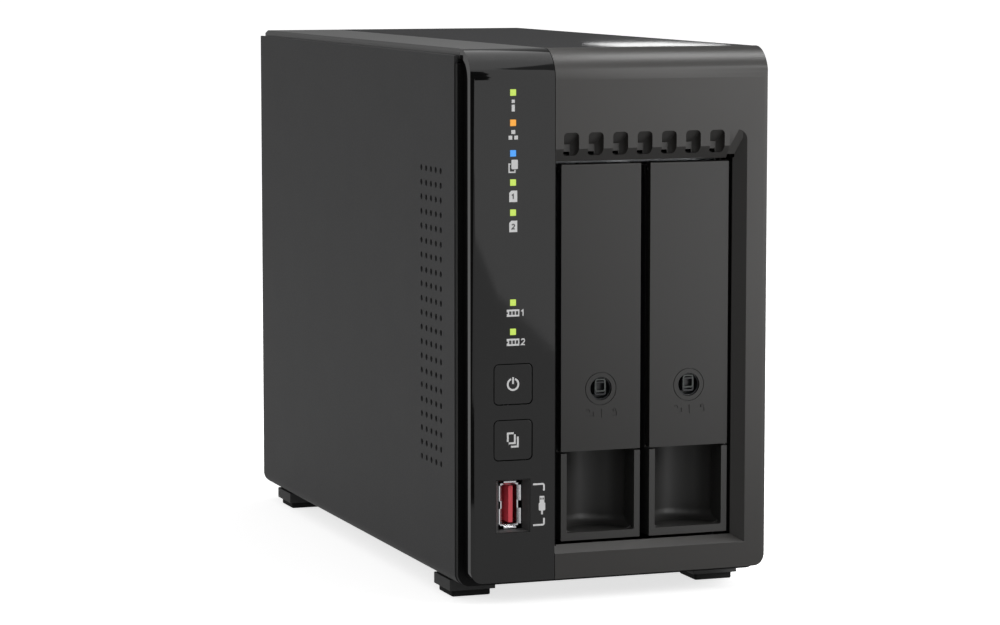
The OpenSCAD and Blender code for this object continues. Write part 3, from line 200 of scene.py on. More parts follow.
# Colours are linear; grain, depth and widths are in mm
bodyLooks = {
    "shellPaint": dict(colour=(0.05, 0.05, 0.051), mottle=0.04, rough=0.52, roughSpread=0.05, grain=0.45,
                       depth=0.012, specular=0.2, wear=0.35),
    "coverPlastic": dict(colour=(0.016, 0.016, 0.017), mottle=0.04, rough=0.5, roughSpread=0.05, grain=0.35,
                         depth=0.008, specular=0.02, wear=0.3,
                       coat=0.12,
                       coatRough=0.02),
    "trimPlastic": dict(colour=(0.06, 0.06, 0.06), mottle=0.03, rough=0.32, roughSpread=0.03, grain=0.3,
                        depth=0.004, specular=0.4, wear=0.2),
    "frameBlack": dict(colour=(0.004, 0.004, 0.004), mottle=0.1, rough=0.5, roughSpread=0.06, grain=0.4,
                       depth=0.01, specular=0.12, wear=0.15),
    "bezelPlastic": dict(colour=(0.0225, 0.021, 0.0195), mottle=0.03, rough=0.4, roughSpread=0.04, grain=0.3,
                         depth=0.006, specular=0.36, wear=0.3),
    "panelGloss": dict(colour=(0.006, 0.006, 0.006), mottle=0.03, rough=0.06, roughSpread=0.015, grain=2.0,
                       depth=0.0006, specular=0.4, wear=0.12, wearWidth=0.2),
    "keyGloss": dict(colour=(0.006, 0.006, 0.006), mottle=0.03, rough=0.07, roughSpread=0.015, grain=2.0,
                     depth=0.0006, specular=0.4, wear=0.12, wearWidth=0.2),
    "trayPlastic": dict(colour=(0.024, 0.0235, 0.0225), mottle=0.03, rough=0.4, roughSpread=0.04, grain=0.3,
                        depth=0.006, specular=0.35, wear=0.25),
    "pullPlastic": dict(colour=(0.0145, 0.0138, 0.013), mottle=0.03, rough=0.38, roughSpread=0.04, grain=0.3,
                        depth=0.006, specular=0.33, wear=0.3),
    "lockBlack": dict(colour=(0.01, 0.011, 0.013), mottle=0.05, rough=0.3, roughSpread=0.05, grain=0.3,
                      depth=0.006, specular=0.3, wear=0.3),
    "bracketPlastic": dict(colour=(0.05, 0.05, 0.05), mottle=0.05, rough=0.55, roughSpread=0.06, grain=0.4,
                           depth=0.01, specular=0.3, wear=0.25),
    "footRubber": dict(colour=(0.006, 0.006, 0.006), mottle=0.15, rough=0.75, roughSpread=0.08, grain=0.3,
                       depth=0.03, specular=0.25, wear=0.2),
    "plainBlack": dict(colour=(0.008, 0.008, 0.008), mottle=0.08, rough=0.5, roughSpread=0.06, grain=0.3,
                       depth=0.01, specular=0.3, wear=0.2),
    "fanPlastic": dict(colour=(0.012, 0.012, 0.012), mottle=0.06, rough=0.45, roughSpread=0.06, grain=0.35,
                       depth=0.01, specular=0.4, wear=0.2),
    "rotorPlastic": dict(colour=(0.02, 0.02, 0.02), mottle=0.06, rough=0.38, roughSpread=0.05, grain=0.35,
                         depth=0.008, specular=0.45, wear=0.25),
    "rearPaint": dict(colour=(0.03, 0.03, 0.031), mottle=0.04, rough=0.5, roughSpread=0.05, grain=0.45,
                      depth=0.012, specular=0.35, wear=0.35),
    "screwBlack": dict(colour=(0.02, 0.02, 0.02), mottle=0.1, rough=0.35, roughSpread=0.06, grain=0.2,
                       depth=0.004, specular=0.5, wear=0.5, wornColour=(0.25, 0.25, 0.25), metal=0.6),
    "zincSteel": dict(colour=(0.42, 0.43, 0.45), mottle=0.1, rough=0.34, roughSpread=0.08, grain=0.25,
                      stretch=(1, 0.04, 1), depth=0.004, metal=1.0, wear=0.3, cloud=9),
    "nickel": dict(colour=(0.6, 0.6, 0.62), mottle=0.06, rough=0.2, roughSpread=0.05, grain=0.2, depth=0.002,
                   metal=1.0, wear=0.2),
    "castAluminium": dict(colour=(0.5, 0.51, 0.53), mottle=0.08, rough=0.42, roughSpread=0.08, grain=0.25,
                          depth=0.02, metal=1.0, wear=0.3),
    "finAluminium": dict(colour=(0.52, 0.53, 0.55), mottle=0.06, rough=0.32, roughSpread=0.06, grain=0.15,
                         stretch=(1, 1, 0.05), depth=0.004, metal=1.0, wear=0.25),
    "brass": dict(colour=(0.6, 0.43, 0.17), mottle=0.06, rough=0.28, roughSpread=0.05, grain=0.15,
                  depth=0.003, metal=1.0, wear=0.2),
    "gold": dict(colour=(0.75, 0.55, 0.2), mottle=0.05, rough=0.22, roughSpread=0.05, grain=0.1, depth=0.001,
                 metal=1.0),
    "tongueRed": dict(colour=(0.8, 0.07, 0.095), mottle=0.05, rough=0.42, roughSpread=0.05, grain=0.3,
                      depth=0.004, specular=0.4, wear=0.2),
    # Grey of the sheet over the front socket's slopes, darker than their metal: painted shade
    "socketShadeGrey": dict(colour=(0.045, 0.045, 0.045), mottle=0.04, rough=0.45, roughSpread=0.04, grain=0.3,
                      depth=0.004, specular=0.3, wear=0.2),
    "lockCore": dict(colour=(0.04, 0.045, 0.043), mottle=0.05, rough=0.45, roughSpread=0.05, grain=0.3,
                     depth=0.004, specular=0.3, wear=0.5, wornColour=(0.2, 0.22, 0.2)),
    "contactBlue": dict(colour=(0.16, 0.13, 0.24), mottle=0.08, rough=0.4, roughSpread=0.06, grain=0.15,
                        depth=0.002, specular=0.5),
    "contactPale": dict(colour=(0.3, 0.2, 0.2), mottle=0.08, rough=0.35, roughSpread=0.06, grain=0.15,
                        depth=0.002, specular=0.6),
    "labelPaper": dict(colour=(0.72, 0.72, 0.7), mottle=0.03, rough=0.6, roughSpread=0.05, grain=0.2,
                       depth=0.004, specular=0.3),
    "labelInk": dict(colour=(0.02, 0.02, 0.025), mottle=0.1, rough=0.5, roughSpread=0.05, grain=0.2,
                     depth=0.002, specular=0.3),
    "markWhite": dict(colour=(0.74, 0.74, 0.74), mottle=0.04, rough=0.5, roughSpread=0.05, grain=0.15,
                      depth=0.001, specular=0.3),
    "markDark": dict(colour=(0.03, 0.03, 0.03), mottle=0.05, rough=0.4, roughSpread=0.05, grain=0.15,
                     depth=0.001, specular=0.3),
}
boardLooks = {
    "boardGreen": dict(mask=(0.008, 0.05, 0.022), run=(0.02, 0.1, 0.04), tin=(0.5, 0.5, 0.48), runPitch=2.2,
                       padPitch=1.9, rough=0.32, tinRough=0.25, runHeight=0.03),
    "moduleGreen": dict(mask=(0.007, 0.06, 0.02), run=(0.02, 0.12, 0.04), tin=(0.6, 0.45, 0.15), runPitch=1.4,
                        padPitch=1.2, rough=0.3, tinRough=0.25, runHeight=0.03),
}
pipeLooks = {
    "lightGreen": dict(glow=(0.58, 0.79, 0.13), power=0.97),
    "lightOrange": dict(glow=(0.98, 0.42, 0.06), power=0.97),
    "lightBlue": dict(glow=(0.09, 0.38, 0.97), power=0.97),
}

finishes = {name: surface(name, look) for name, look in bodyLooks.items()}
finishes.update({name: circuitBoard(name, look) for name, look in boardLooks.items()})
finishes.update({name: litPipe(name, look) for name, look in pipeLooks.items()})

# Which finish each node wears, and how far its edges are rounded in mm
dress = {
    "outer_shell": ("shellPaint", 0.25), "top_cover": ("coverPlastic", 0.2),
    "top_trim_strip": ("trimPlastic", 0.2), "bezel_frame": ("frameBlack", 0.15),
    "front_bezel": ("bezelPlastic", 0.18), "led_panel": ("panelGloss", 0.15),
    "green_lights": ("lightGreen", 0.1), "network_light": ("lightOrange", 0.1),
    "copy_light": ("lightBlue", 0.1), "power_button": ("keyGloss", 0.18),
    "copy_button": ("keyGloss", 0.18), "button_switches": ("nickel", 0.1),
    "front_board": ("boardGreen", 0), "front_usb_shell": ("nickel", 0.08),
    "front_usb_tongue": ("tongueRed", 0.12), "front_usb_board": ("boardGreen", 0),
    "foot_brackets": ("bracketPlastic", 0.2), "foot_pads": ("footRubber", 0.35),
    "cage_left_wall": ("zincSteel", 0.12), "cage_right_wall": ("zincSteel", 0.12),
    "cage_floor": ("zincSteel", 0.12), "cage_roof": ("zincSteel", 0.12),
    "cage_screws": ("zincSteel", 0.2), "backplane_board": ("boardGreen", 0),
    "drive_connectors": ("plainBlack", 0.15), "rear_panel": ("rearPaint", 0.15),
    "rear_screws": ("screwBlack", 0.1), "fan_frame": ("fanPlastic", 0.2),
    "fan_rotor": ("rotorPlastic", 0.15), "fan_screws": ("screwBlack", 0.1),
    "mainboard": ("boardGreen", 0), "board_standoffs": ("brass", 0.1), "processor": ("nickel", 0.15),
    "heatsink": ("finAluminium", 0.08), "memory_sockets": ("plainBlack", 0.1),
    "memory_modules": ("moduleGreen", 0), "ssd_sockets": ("plainBlack", 0.1),
    "ssd_module_1": ("moduleGreen", 0), "ssd_module_2": ("moduleGreen", 0),
    "clock_battery": ("nickel", 0.3), "network_jacks": ("nickel", 0.12),
    "rear_usb_ports": ("nickel", 0.08), "display_ports": ("nickel", 0.08),
    "power_inlet": ("plainBlack", 0.2), "reset_button": ("plainBlack", 0.1),
    "reset_switch": ("nickel", 0.1),
}
for bay in ("1", "2"):
    dress.update({
        f"tray_{bay}_carrier": ("trayPlastic", 0.18), f"tray_{bay}_handle": ("pullPlastic", 0.2),
        f"tray_{bay}_hinge_pin": ("nickel", 0.1), f"tray_{bay}_lock": ("lockBlack", 0.12),
        f"drive_{bay}_case": ("castAluminium", 0.3), f"drive_{bay}_board": ("boardGreen", 0),
    })


softEdge = {"weld": 0.002, "flatAngle": 0.4, "edgeAngle": 32, "steps": 2, "normalWeight": 90}


def softenEdges(obj, width):
    weld = obj.modifiers.new("join", "WELD")
    weld.merge_threshold = softEdge["weld"] * mm
    flat = obj.modifiers.new("flatFaces", "DECIMATE")
    flat.decimate_type = "DISSOLVE"
    flat.angle_limit = math.radians(softEdge["flatAngle"])
    bevel = obj.modifiers.new("edges", "BEVEL")
    bevel.width = width * mm
    bevel.segments = softEdge["steps"]
    bevel.limit_method = "ANGLE"
    bevel.angle_limit = math.radians(softEdge["edgeAngle"])
    bevel.harden_normals = False
    bevel.use_clamp_overlap = True
    even = obj.modifiers.new("evenShade", "WEIGHTED_NORMAL")
    even.weight = softEdge["normalWeight"]
    even.mode = "FACE_AREA"
    even.keep_sharp = True
    for polygon in obj.data.polygons:
        polygon.use_smooth = True


for name, (finish, rounding) in dress.items():
    part = nodes[name]
    part.data.materials.clear()
    part.data.materials.append(finishes[finish])
    if rounding:
        softenEdges(part, rounding)
print("finishes on:", len(dress), "nodes,", len(finishes), "finishes")


# Printed marks: thin raised shapes drawn in X and Z, in mm
def rectangle(cx, cz, w, h, r=0.0, steps=5):
    points = []
    for sx, sz, start in ((-1, -1, 180), (1, -1, -90), (1, 1, 0), (-1, 1, 90)):
        x, z = cx + sx * (w / 2 - r), cz + sz * (h / 2 - r)
        points += arc(x, z, r, start, start + 90, steps) if r > 0 else [(x, z)]
    return points


def arc(cx, cz, r, start, end, steps=28):
    turns = [math.radians(start + (end - start) * i / steps) for i in range(steps + 1)]
    return [(cx + r * math.cos(t), cz + r * math.sin(t)) for t in turns]


# The outline of a line of some width, with mitred corners
def stroke(points, width, closed=False):
    count = len(points)
    left, right = [], []
    for i, (x, z) in enumerate(points):
        before = points[i - 1] if (i or closed) else points[i]
        after = points[(i + 1) % count] if (i < count - 1 or closed) else points[i]
        a = Vector((x - before[0], z - before[1]))
        b = Vector((after[0] - x, after[1] - z))
        a = a.normalized() if a.length else b.normalized()
        b = b.normalized() if b.length else a
        normal = Vector((-(a.y + b.y), a.x + b.x))
        normal.normalize()
        reach = width / 2 / max(0.4, normal.dot(Vector((-a.y, a.x))))
        left.append((x + normal.x * reach, z + normal.y * reach))
        right.append((x - normal.x * reach, z - normal.y * reach))
    if closed:
        return [("ring", left, right)]
    return [("fill", right + left[::-1])]


markSink = 0.02


# parts: (finish number, raise in mm, outline or ring); at: the mark's middle in metres, on a front face
def markMesh(name, parts, at, lift, finish=("markWhite",)):
    bm = bmesh.new()

    def spot(p, y):
        return bm.verts.new((at[0] + p[0] * mm, at[1] - y * mm, at[2] + p[1] * mm))

    def face(verts, number):
        f = bm.faces.new(verts)
        f.material_index = number
        return f

    for number, rise, shape in parts:
        low, high = -markSink, lift + rise
        if shape[0] == "ring":
            rings = [[spot(p, y) for p in line] for line in shape[1:] for y in (low, high)]
            outerLow, outerHigh, innerLow, innerHigh = rings
            n = len(outerLow)
            for i in range(n):
                j = (i + 1) % n
                face((outerLow[i], outerLow[j], outerHigh[j], outerHigh[i]), number)
                face((innerHigh[i], innerHigh[j], innerLow[j], innerLow[i]), number)
                face((outerHigh[i], outerHigh[j], innerHigh[j], innerHigh[i]), number)
                face((innerLow[i], innerLow[j], outerLow[j], outerLow[i]), number)
        else:
            outline = shape[1] if shape[0] == "fill" else shape
            bottom = [spot(p, low) for p in outline]
            top = [spot(p, high) for p in outline]
            face(bottom[::-1], number)
            face(top, number)
            n = len(outline)
            for i in range(n):
                j = (i + 1) % n
                face((bottom[i], bottom[j], top[j], top[i]), number)
    bmesh.ops.recalc_face_normals(bm, faces=bm.faces)
    mesh = bpy.data.meshes.new(name)
    bm.to_mesh(mesh)
    bm.free()
    for f in finish:
        mesh.materials.append(finishes[f])
    obj = bpy.data.objects.new(name, mesh)
    scene.collection.objects.link(obj)
    return obj


def middle(name):
    low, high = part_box(name)
    return (low + high) / 2


# Heights of the middles of a node's solids that stand over one another
def solidRows(name, gap=3.0):
    heights = sorted({round(v.co.z, 5) for v in nodes[name].data.vertices})
    rows, start = [], heights[0]
    for a, b in zip(heights, heights[1:] + [heights[-1] + 1]):
        if b - a > gap * mm:
            rows.append((start + a) / 2)
            start = b
    return rows


# A 1 or a 2, h high, drawn with a line w wide
def numeral(which, cx, cz, h, w):
    if which == 1:
        return stroke([(cx - 0.3 * h, cz + 0.24 * h), (cx, cz + 0.46 * h), (cx, cz - 0.5 * h)], w)
    top = arc(cx, cz + 0.22 * h, 0.27 * h, 165, -35, 10)
    return stroke(top + [(cx - 0.28 * h, cz - 0.44 * h), (cx + 0.32 * h, cz - 0.44 * h)], w)


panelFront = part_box("led_panel")[0].y
columnX = middle("network_light").x
lampRows = solidRows("green_lights") + [middle("network_light").z, middle("copy_light").z]
lampRows.sort(reverse=True)
markDrop = {"info": 4.0, "network": 3.65, "copy": 4.0, "tag": 4.2, "module": 3.2}
markLift = 0.02
inkLift = 0.015


def panelMark(name, row, drop, parts):
    at = (columnX, panelFront, lampRows[row] - drop * mm)
    piece = markMesh(name, parts, at, markLift, finish=("markWhite", "markDark"))
    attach(piece, "enclosure")
    return piece


def whole(shapes, number=0, rise=0.0):
    return [(number, rise, s) for s in shapes]


panelMark("info_mark", 0, markDrop["info"],
          whole([rectangle(0, 1.35, 0.98, 0.98, 0.1), rectangle(0, -0.72, 0.98, 2.05, 0.1)]))
panelMark("network_mark", 1, markDrop["network"],
          whole([rectangle(0, 0.86, 1.25, 1.2, 0.1), rectangle(-0.92, -0.84, 1.2, 1.2, 0.1),
                 rectangle(0.92, -0.84, 1.2, 1.2, 0.1)]))
panelMark("copy_mark", 2, markDrop["copy"],
          whole([rectangle(0.45, 0.62, 2.1, 2.9, 0.35)])
          + whole(stroke([(-0.85, 0.75), (-1.35, 0.75), (-1.35, -1.75), (0.55, -1.75), (0.55, -1.05)], 0.42)))
for which, row in ((1, 3), (2, 4)):
    panelMark(f"drive_tag_{which}", row, markDrop["tag"],
              whole([[(-1.3, -1.75), (1.3, -1.75), (1.3, 1.75), (-0.6, 1.75), (-1.3, 1.1)]])
              + whole(numeral(which, 0, -0.1, 1.5, 0.34), 1, inkLift))
for which, row in ((1, 5), (2, 6)):
    plate = [(-2.1, -1.1), (2.0, -1.1), (2.0, 1.1), (-2.1, 1.1),
             (-2.1, 0.35), (-1.7, 0.2), (-1.7, -0.2), (-2.1, -0.35)]
    chips = [rectangle(x, 0, 0.75, 1.1, 0.08) for x in (-0.95, 0.15, 1.25)]
    panelMark(f"module_tag_{which}", row, markDrop["module"],
              whole([plate]) + whole(chips, 1, inkLift) + whole(numeral(which, 3.2, 0, 1.9, 0.36)))

# Signs on the two keys, as shares of a key's width
keySigns = {"ringRadius": 0.141, "line": 0.048, "barLow": 0.01, "barHigh": 0.178, "ringGap": 22,
            "backPage": [(-0.139, -0.04), (-0.139, 0.175), (0.018, 0.175)],
            "frontPage": [(0.048, 0.145), (0.048, -0.076), (-0.116, -0.076)],
            "shadowPage": [(0.127, 0.083), (0.127, -0.164), (-0.055, -0.164)]}

for key, node in (("power_key", "power_button"), ("copy_key", "copy_button")):
    low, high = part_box(node)
    size = (high.x - low.x) / mm
    at = (middle(node).x, low.y, middle(node).z)
    line = keySigns["line"] * size
    if key == "power_key":
        radius = keySigns["ringRadius"] * size
        ring = arc(0, 0, radius, 90 + keySigns["ringGap"], 450 - keySigns["ringGap"], 40)
        bar = [(0, keySigns["barLow"] * size), (0, keySigns["barHigh"] * size)]
        shapes = stroke(ring, line) + stroke(bar, line)
    else:
        shapes = []
        for page in ("backPage", "frontPage", "shadowPage"):
            shapes += stroke([(x * size, z * size) for x, z in keySigns[page]], line)
    piece = markMesh(f"{key}_mark", whole(shapes), at, markLift)
    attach(piece, key)

# Corner lines and a small plug beside the front socket, in mm from the socket's middle
plugSign = {"inner": 6.55, "outer": 10.15, "high": 6.4, "low": -6.35, "arm": 2.1, "line": 0.55, "round": 0.5,
            "plugX": 9.5, "plugW": 2.15, "plugLow": -1.9, "plugHigh": 0.6, "mouthW": 1.55, "mouthHigh": 2.65,
            "cableLow": -3.1, "cableW": 0.6, "plugRound": 0.4,
            "pinX": 0.36, "pinZ": 1.8, "pinW": 0.4, "pinH": 0.6}


def cornerLine(endZ, turn):
    r, outer = plugSign["round"], plugSign["outer"]
    bend = arc(outer - r, endZ + turn * r, r, -90 * turn, 0, 5)
    inner, tip = (plugSign["inner"], endZ), (outer, endZ + turn * plugSign["arm"])
    return stroke([inner] + bend + [tip], plugSign["line"])


# A rectangle of the plug, from one height to another
def plugBlock(low, high, width, r=0.0):
    return rectangle(plugSign["plugX"], (low + high) / 2, width, high - low, r)


plug = [plugBlock(plugSign["plugLow"], plugSign["plugHigh"], plugSign["plugW"], plugSign["plugRound"]),
        plugBlock(plugSign["plugHigh"], plugSign["mouthHigh"], plugSign["mouthW"]),
        plugBlock(plugSign["cableLow"], plugSign["plugLow"], plugSign["cableW"])]
pins = [rectangle(plugSign["plugX"] + x, plugSign["pinZ"], plugSign["pinW"], plugSign["pinH"])
        for x in (-plugSign["pinX"], plugSign["pinX"])]
corners = cornerLine(plugSign["high"], -1) + cornerLine(plugSign["low"], 1)
socket = middle("front_usb_shell")
plugMark = markMesh("front_socket_mark", whole(corners + plug) + whole(pins, 1, inkLift),
                    (socket.x, panelFront, socket.z), markLift, finish=("markWhite", "markDark"))
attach(plugMark, "enclosure")
print("marks printed")


# Small solid pieces: boxes given by their low and high corners in metres, edges rounded in mm
def boxMesh(name, boxes, finish, body, rounding=0.0):
    bm = bmesh.new()
    for low, high in boxes:
        cube = bmesh.ops.create_cube(bm, size=1.0)["verts"]
        for v in cube:
            v.co = Vector([(a + b) / 2 + c * (b - a) for a, b, c in zip(low, high, v.co)])
    mesh = bpy.data.meshes.new(name)
    bm.to_mesh(mesh)
    bm.free()
    mesh.materials.append(finishes[finish])
    obj = bpy.data.objects.new(name, mesh)
    scene.collection.objects.link(obj)
    if rounding:
        bevel = obj.modifiers.new("edges", "BEVEL")
        bevel.width = rounding * mm
        bevel.segments = 2
    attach(obj, body)
    return obj


# Contacts on the front socket's tongue: five short pads near its edge, four springs behind them
contacts = {"padPitch": 2.15, "padSize": 1.15, "padBack": 2.1, "padLength": 1.0, "padRise": 0.08,
            "springPitch": 2.5, "springSize": 0.95, "springBack": 6.0, "springLength": 1.9, "springRise": 0.3,
            "sunk": 0.05}
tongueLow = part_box("front_usb_tongue")[0]
tongueMid = middle("front_usb_tongue").z


def contactRow(kind, count):
    size, pitch = contacts[kind + "Size"] * mm, contacts[kind + "Pitch"] * mm
    left, right = tongueLow.x - contacts[kind + "Rise"] * mm, tongueLow.x + contacts["sunk"] * mm
    front = tongueLow.y + contacts[kind + "Back"] * mm
    back = front + contacts[kind + "Length"] * mm
    heights = [tongueMid + (i - (count - 1) / 2) * pitch for i in range(count)]
    return [((left, front, z - size / 2), (right, back, z + size / 2)) for z in heights]


boxMesh("front_socket_pads", contactRow("pad", 5), "contactBlue", "enclosure", 0.03)
boxMesh("front_socket_springs", contactRow("spring", 4), "contactPale", "enclosure", 0.1)

# Grey sheet on the four slopes round the front socket, darkening them as painted shade, in mm
socketShadeSheet = {"frontX": 5.5, "frontZ": 8.15, "frontY": 0.15, "backX": 3.9, "backZ": 7.62, "backY": 2.72,
         "thick": 0.05}
bm = bmesh.new()
loops = []
for inward in (0.0, socketShadeSheet["thick"]):
    for end in ("front", "back"):
        halfX, halfZ = socketShadeSheet[end + "X"] - inward, socketShadeSheet[end + "Z"] - inward
        y = panelFront + socketShadeSheet[end + "Y"] * mm
        loops.append([bm.verts.new((socket.x + x * mm, y, socket.z + z * mm))
                      for x, z in rectangle(0, 0, 2 * halfX, 2 * halfZ)])
for a, b in ((0, 1), (1, 3), (3, 2), (2, 0)):
    for i in range(4):
        j = (i + 1) % 4
        bm.faces.new((loops[a][i], loops[a][j], loops[b][j], loops[b][i]))
bmesh.ops.recalc_face_normals(bm, faces=bm.faces)
socketShadeMesh = bpy.data.meshes.new("front_socket_shade_sheet")
bm.to_mesh(socketShadeMesh)
bm.free()
socketShadeMesh.materials.append(finishes["socketShadeGrey"])
socketShadePiece = bpy.data.objects.new("front_socket_shade_sheet", socketShadeMesh)
scene.collection.objects.link(socketShadePiece)
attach(socketShadePiece, "enclosure")

# A pale rim on each key post of the tray locks, in mm
keyRim = {"wide": 3.1, "high": 3.6, "round": 0.6, "line": 0.42, "lift": 0.05}
for bay in ("1", "2"):
    post = (middle(f"tray_{bay}_handle").x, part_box(f"tray_{bay}_lock")[0].y, middle(f"tray_{bay}_lock").z)
    outline = rectangle(0, 0, keyRim["wide"], keyRim["high"], keyRim["round"])
    rim = markMesh(f"key_rim_{bay}", whole(stroke(outline, keyRim["line"], closed=True)), post,
                   keyRim["lift"], finish=("lockCore",))
    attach(rim, f"tray_{bay}_key_lock")

# Rear network sockets: eight contacts across the mouth and two link lights each, in mm
jack = {"wires": 8, "pitch": 1.02, "wire": 0.4, "wireX": 2.6, "reach": 1.2, "near": 3.0, "far": 10.0,
        "lampX": 11.7, "lampZ": 6.6, "lampW": 1.7, "lampH": 1.5, "lampRise": 0.12, "lampSink": 0.1}
jackLow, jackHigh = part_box("network_jacks")


# A box beside the sockets' left wall and back face: x and z from the middle of its span, y from the face
def jackBox(x, z, w, h, near, far):
    return ((jackLow.x + (x - w / 2) * mm, jackHigh.y - far * mm, z - h / 2 * mm),
            (jackLow.x + (x + w / 2) * mm, jackHigh.y - near * mm, z + h / 2 * mm))


wires, lamps = [], {1: [], -1: []}
halfRows = solidRows("network_jacks")
for z in [(a + b) / 2 for a, b in zip(halfRows[0::2], halfRows[1::2])]:
    for i in range(jack["wires"]):
        wireZ = z + (i - (jack["wires"] - 1) / 2) * jack["pitch"] * mm
        wires.append(jackBox(jack["wireX"] + jack["reach"] / 2, wireZ, jack["reach"], jack["wire"],
                             jack["near"], jack["far"]))
    for side in lamps:
        lamps[side].append(jackBox(jack["lampX"], z + side * jack["lampZ"] * mm, jack["lampW"], jack["lampH"],
                                   -jack["lampRise"], jack["lampSink"]))
boxMesh("jack_contacts", wires, "gold", "enclosure", 0.05)
boxMesh("jack_green_lamps", lamps[1], "lightGreen", "enclosure", 0.1)
boxMesh("jack_orange_lamps", lamps[-1], "lightOrange", "enclosure", 0.1)

# Paper labels on the drives' cases, with printed bars in place of words, in mm
# Each bar has its height over the label's middle and its length
label = {"long": 84, "high": 56, "thick": 0.06, "sunk": 0.02, "inkThick": 0.03, "inkSunk": 0.01, "margin": 6,
         "barHigh": 2.4, "bars": [(22, 30), (16, 44), (10, 38), (-2, 60), (-8, 52), (-18, 24)]}
for bay in ("1", "2"):
    centre = middle(f"drive_{bay}_case")
    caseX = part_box(f"drive_{bay}_case")[0].x
    paperX = caseX - label["thick"] * mm
    reachY, reachZ = label["long"] / 2 * mm, label["high"] / 2 * mm
    paper = ((paperX, centre.y - reachY, centre.z - reachZ),
             (caseX + label["sunk"] * mm, centre.y + reachY, centre.z + reachZ))
    boxMesh(f"drive_label_{bay}", [paper], "labelPaper", f"tray_{bay}")
    bars = []
    front = centre.y - reachY + label["margin"] * mm
    for rise, length in label["bars"]:
        z, reach = centre.z + rise * mm, label["barHigh"] / 2 * mm
        bars.append(((paperX - label["inkThick"] * mm, front, z - reach),
                     (paperX + label["inkSunk"] * mm, front + length * mm, z + reach)))
    boxMesh(f"drive_label_ink_{bay}", bars, "labelInk", f"tray_{bay}")
print("contacts, key rims, lamps and labels on")

# Floor, light and camera
# The floor and the sky are bright where they are seen and dimmer in the light they give
studio = {"floorSize": 30.0, "floorSeen": (0.85, 0.85, 0.85), "floorLit": (0.25, 0.25, 0.25),
          "glowSeen": 0.72, "glowMirrored": 0.4, "glowSoft": 0.03,
          "skySeen": 1.0, "skyMirrored": 0.24, "skySoft": 0.45, "floorRough": 0.9, "floorShine": 0.1}


def stagePlane(name, corners):
    bm = bmesh.new()
    bm.faces.new([bm.verts.new(c) for c in corners])
    mesh = bpy.data.meshes.new(name)
    bm.to_mesh(mesh)
    bm.free()
    obj = bpy.data.objects.new(name, mesh)
    scene.collection.objects.link(obj)
    return obj


half = studio["floorSize"] / 2
floor = stagePlane("floor", [(-half, -half, 0), (half, -half, 0), (half, half, 0), (-half, half, 0)])
floorPaint, tree, shader = newMaterial("floorPaint")
ray = addNode(tree, "ShaderNodeLightPath")
paint = rampMix(tree, ray, "Is Camera Ray", studio["floorLit"], studio["floorSeen"])
link(tree, paint, 2, shader, "Base Color")
shader.inputs["Roughness"].default_value = studio["floorRough"]
shader.inputs["Specular IOR Level"].default_value = studio["floorShine"]
shader.inputs["Emission Color"].default_value = (1, 1, 1, 1)
mirrorGlow = mapRange(tree, ray, "Is Glossy Ray", 0, 1, studio["glowSoft"], studio["glowMirrored"])
seenGlow = addNode(tree, "ShaderNodeMix", data_type="FLOAT")
link(tree, ray, "Is Camera Ray", seenGlow, 0)
link(tree, mirrorGlow, "Result", seenGlow, 2)
seenGlow.inputs[3].default_value = studio["glowSeen"]
link(tree, seenGlow, 0, shader, "Emission Strength")
floor.data.materials.append(floorPaint)

world = bpy.data.worlds.new("studioSky")
scene.world = world
world.use_nodes = True
tree = world.node_tree
tree.nodes.clear()
ray = addNode(tree, "ShaderNodeLightPath")
soft = addNode(tree, "ShaderNodeBackground", Strength=studio["skySoft"])
mirrored = addNode(tree, "ShaderNodeBackground", Strength=studio["skyMirrored"])
seen = addNode(tree, "ShaderNodeBackground", Strength=studio["skySeen"])
for sky in (soft, mirrored, seen):
    sky.inputs["Color"].default_value = (1, 1, 1, 1)
unseen = addNode(tree, "ShaderNodeMixShader")
wholeSky = addNode(tree, "ShaderNodeMixShader")
link(tree, ray, "Is Glossy Ray", unseen, 0)
link(tree, soft, 0, unseen, 1)
link(tree, mirrored, 0, unseen, 2)
link(tree, ray, "Is Camera Ray", wholeSky, 0)
link(tree, unseen, 0, wholeSky, 1)
link(tree, seen, 0, wholeSky, 2)
link(tree, wholeSky, 0, addNode(tree, "ShaderNodeOutputWorld"), "Surface")


def softbox(name, spot, aim, size, power, mirrored):
    data = bpy.data.lights.new(name, "AREA")
    data.shape = "RECTANGLE"
    data.size, data.size_y = size
    data.energy = power
    obj = bpy.data.objects.new(name, data)
    obj.location = spot
    obj.rotation_euler = (Vector(aim) - Vector(spot)).to_track_quat("-Z", "Y").to_euler()
    obj.visible_glossy = mirrored
    scene.collection.objects.link(obj)


# A card that only shows in reflections
def reflector(name, corners, glow):
    obj = stagePlane(name, corners)
    material = bpy.data.materials.new(name)
    material.use_nodes = True
    tree = material.node_tree
    tree.nodes.clear()
    lamp = addNode(tree, "ShaderNodeEmission", Strength=glow)
    link(tree, lamp, "Emission", addNode(tree, "ShaderNodeOutputMaterial"), "Surface")
    obj.data.materials.append(material)
    obj.visible_camera = False
    obj.visible_diffuse = False
    obj.visible_shadow = False
    obj.visible_transmission = False


# Soft boxes, in metres and watts
softboxes = {
    "overhead": dict(spot=(0.5, -0.15, 1.4), aim=(0, -0.05, 0.15), size=(0.6, 0.5),
                     power=12.5, mirrored=True),
    "frontRight": dict(spot=(1.1, -1.3, 0.9), aim=(0, -0.1, 0.1), size=(0.8, 0.8),
                       power=14, mirrored=True),
    "leftSide": dict(spot=(-1.6, 0.2, 0.6), aim=(0, 0, 0.08), size=(1.0, 1.0),
                     power=2.4, mirrored=False),
}
for name, box in softboxes.items():
    softbox(name, **box)

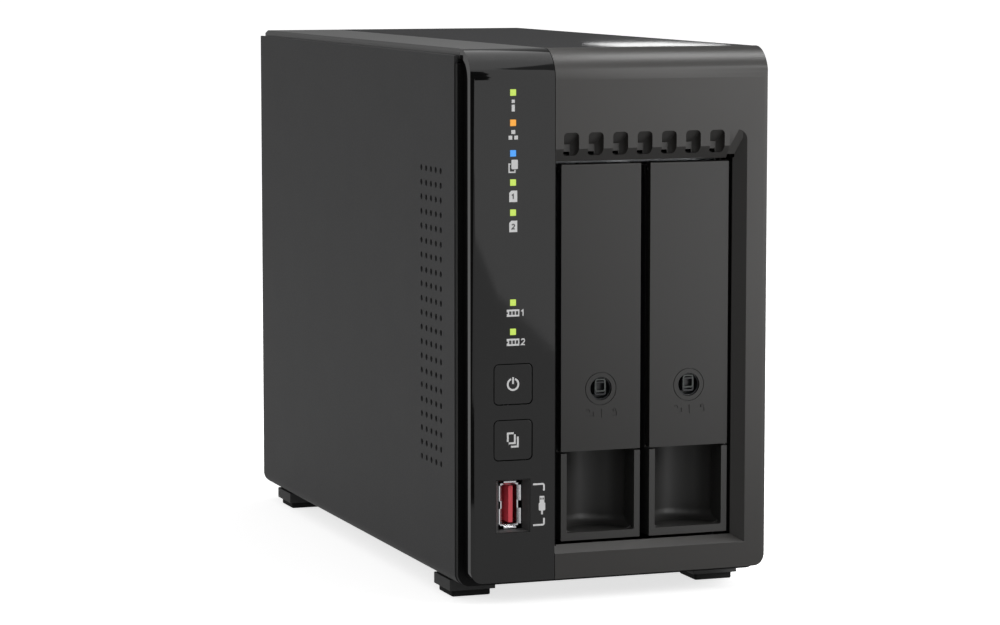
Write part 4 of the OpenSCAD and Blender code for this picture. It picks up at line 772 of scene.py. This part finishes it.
# Cards in metres. The front ones stand at one Y; the slant's lower edge is the line that crosses the panel
cards = {"frontY": -0.363, "splitX": 0.13, "rightX": 0.5, "leftX": -0.3, "floorZ": 0.001, "roofZ": 0.33,
         "roofRight": 0.048, "roofBack": 0.1, "nearY": -0.3, "nearX": (-0.16, -0.06), "nearTop": 0.3,
         "slantEdge": [(-0.3, 0.2), (0.0, 0.116), (0.122, 0.001)],
         "port": [(-0.36, -0.27), (-0.2, -0.22), (-0.2, -0.15), (-0.36, -0.17)], "portZ": 0.002,
         "back": [(0.418, 0.2085), (0.448, 0.2112), (0.503, 0.2115), (0.527, 0.2106), (0.476, 0.2083)],
         "backY": 1.0}
cardGlow = {"slant": 1.35, "right": 3.4, "roof": 1.6, "near": 0.0, "back": 11.0, "port": 1.4}


def upright(y, points):
    return [(x, y, z) for x, z in points]


def uprightBox(y, left, right, low, high):
    return upright(y, [(left, low), (right, low), (right, high), (left, high)])


frontY, split, low, roof = cards["frontY"], cards["splitX"], cards["floorZ"], cards["roofZ"]
left, right = cards["leftX"], cards["roofRight"]
reflector("slantCard", upright(frontY, cards["slantEdge"] + [(split, low), (split, roof), (left, roof)]),
          cardGlow["slant"])
reflector("rightCard", uprightBox(frontY, split, cards["rightX"], low, roof), cardGlow["right"])
reflector("portCard", [(x, y, cards["portZ"]) for x, y in cards["port"]], cardGlow["port"])
reflector("roofCard", [(left, frontY, roof), (right, frontY, roof), (right, cards["roofBack"], roof),
                       (left, cards["roofBack"], roof)], cardGlow["roof"])
reflector("nearCard", uprightBox(cards["nearY"], *cards["nearX"], low, cards["nearTop"]), cardGlow["near"])
reflector("backCard", upright(cards["backY"], cards["back"]), cardGlow["back"])

cameraSet = {"spot": (-0.39257, -1.08961, 0.20684), "yaw": 19.86, "pitch": -6.32, "lens": 123.10,
             "sensor": 36, "clipEnd": 100}
cameraData = bpy.data.cameras.new("camera")
cameraData.lens = cameraSet["lens"]
cameraData.sensor_width = cameraSet["sensor"]
cameraData.clip_end = cameraSet["clipEnd"]
camera = bpy.data.objects.new("camera", cameraData)
camera.location = cameraSet["spot"]
camera.rotation_euler = (math.radians(90 + cameraSet["pitch"]), 0, math.radians(-cameraSet["yaw"]))
scene.collection.objects.link(camera)
scene.camera = camera
scene.view_settings.view_transform = "Standard"
print("studio set")
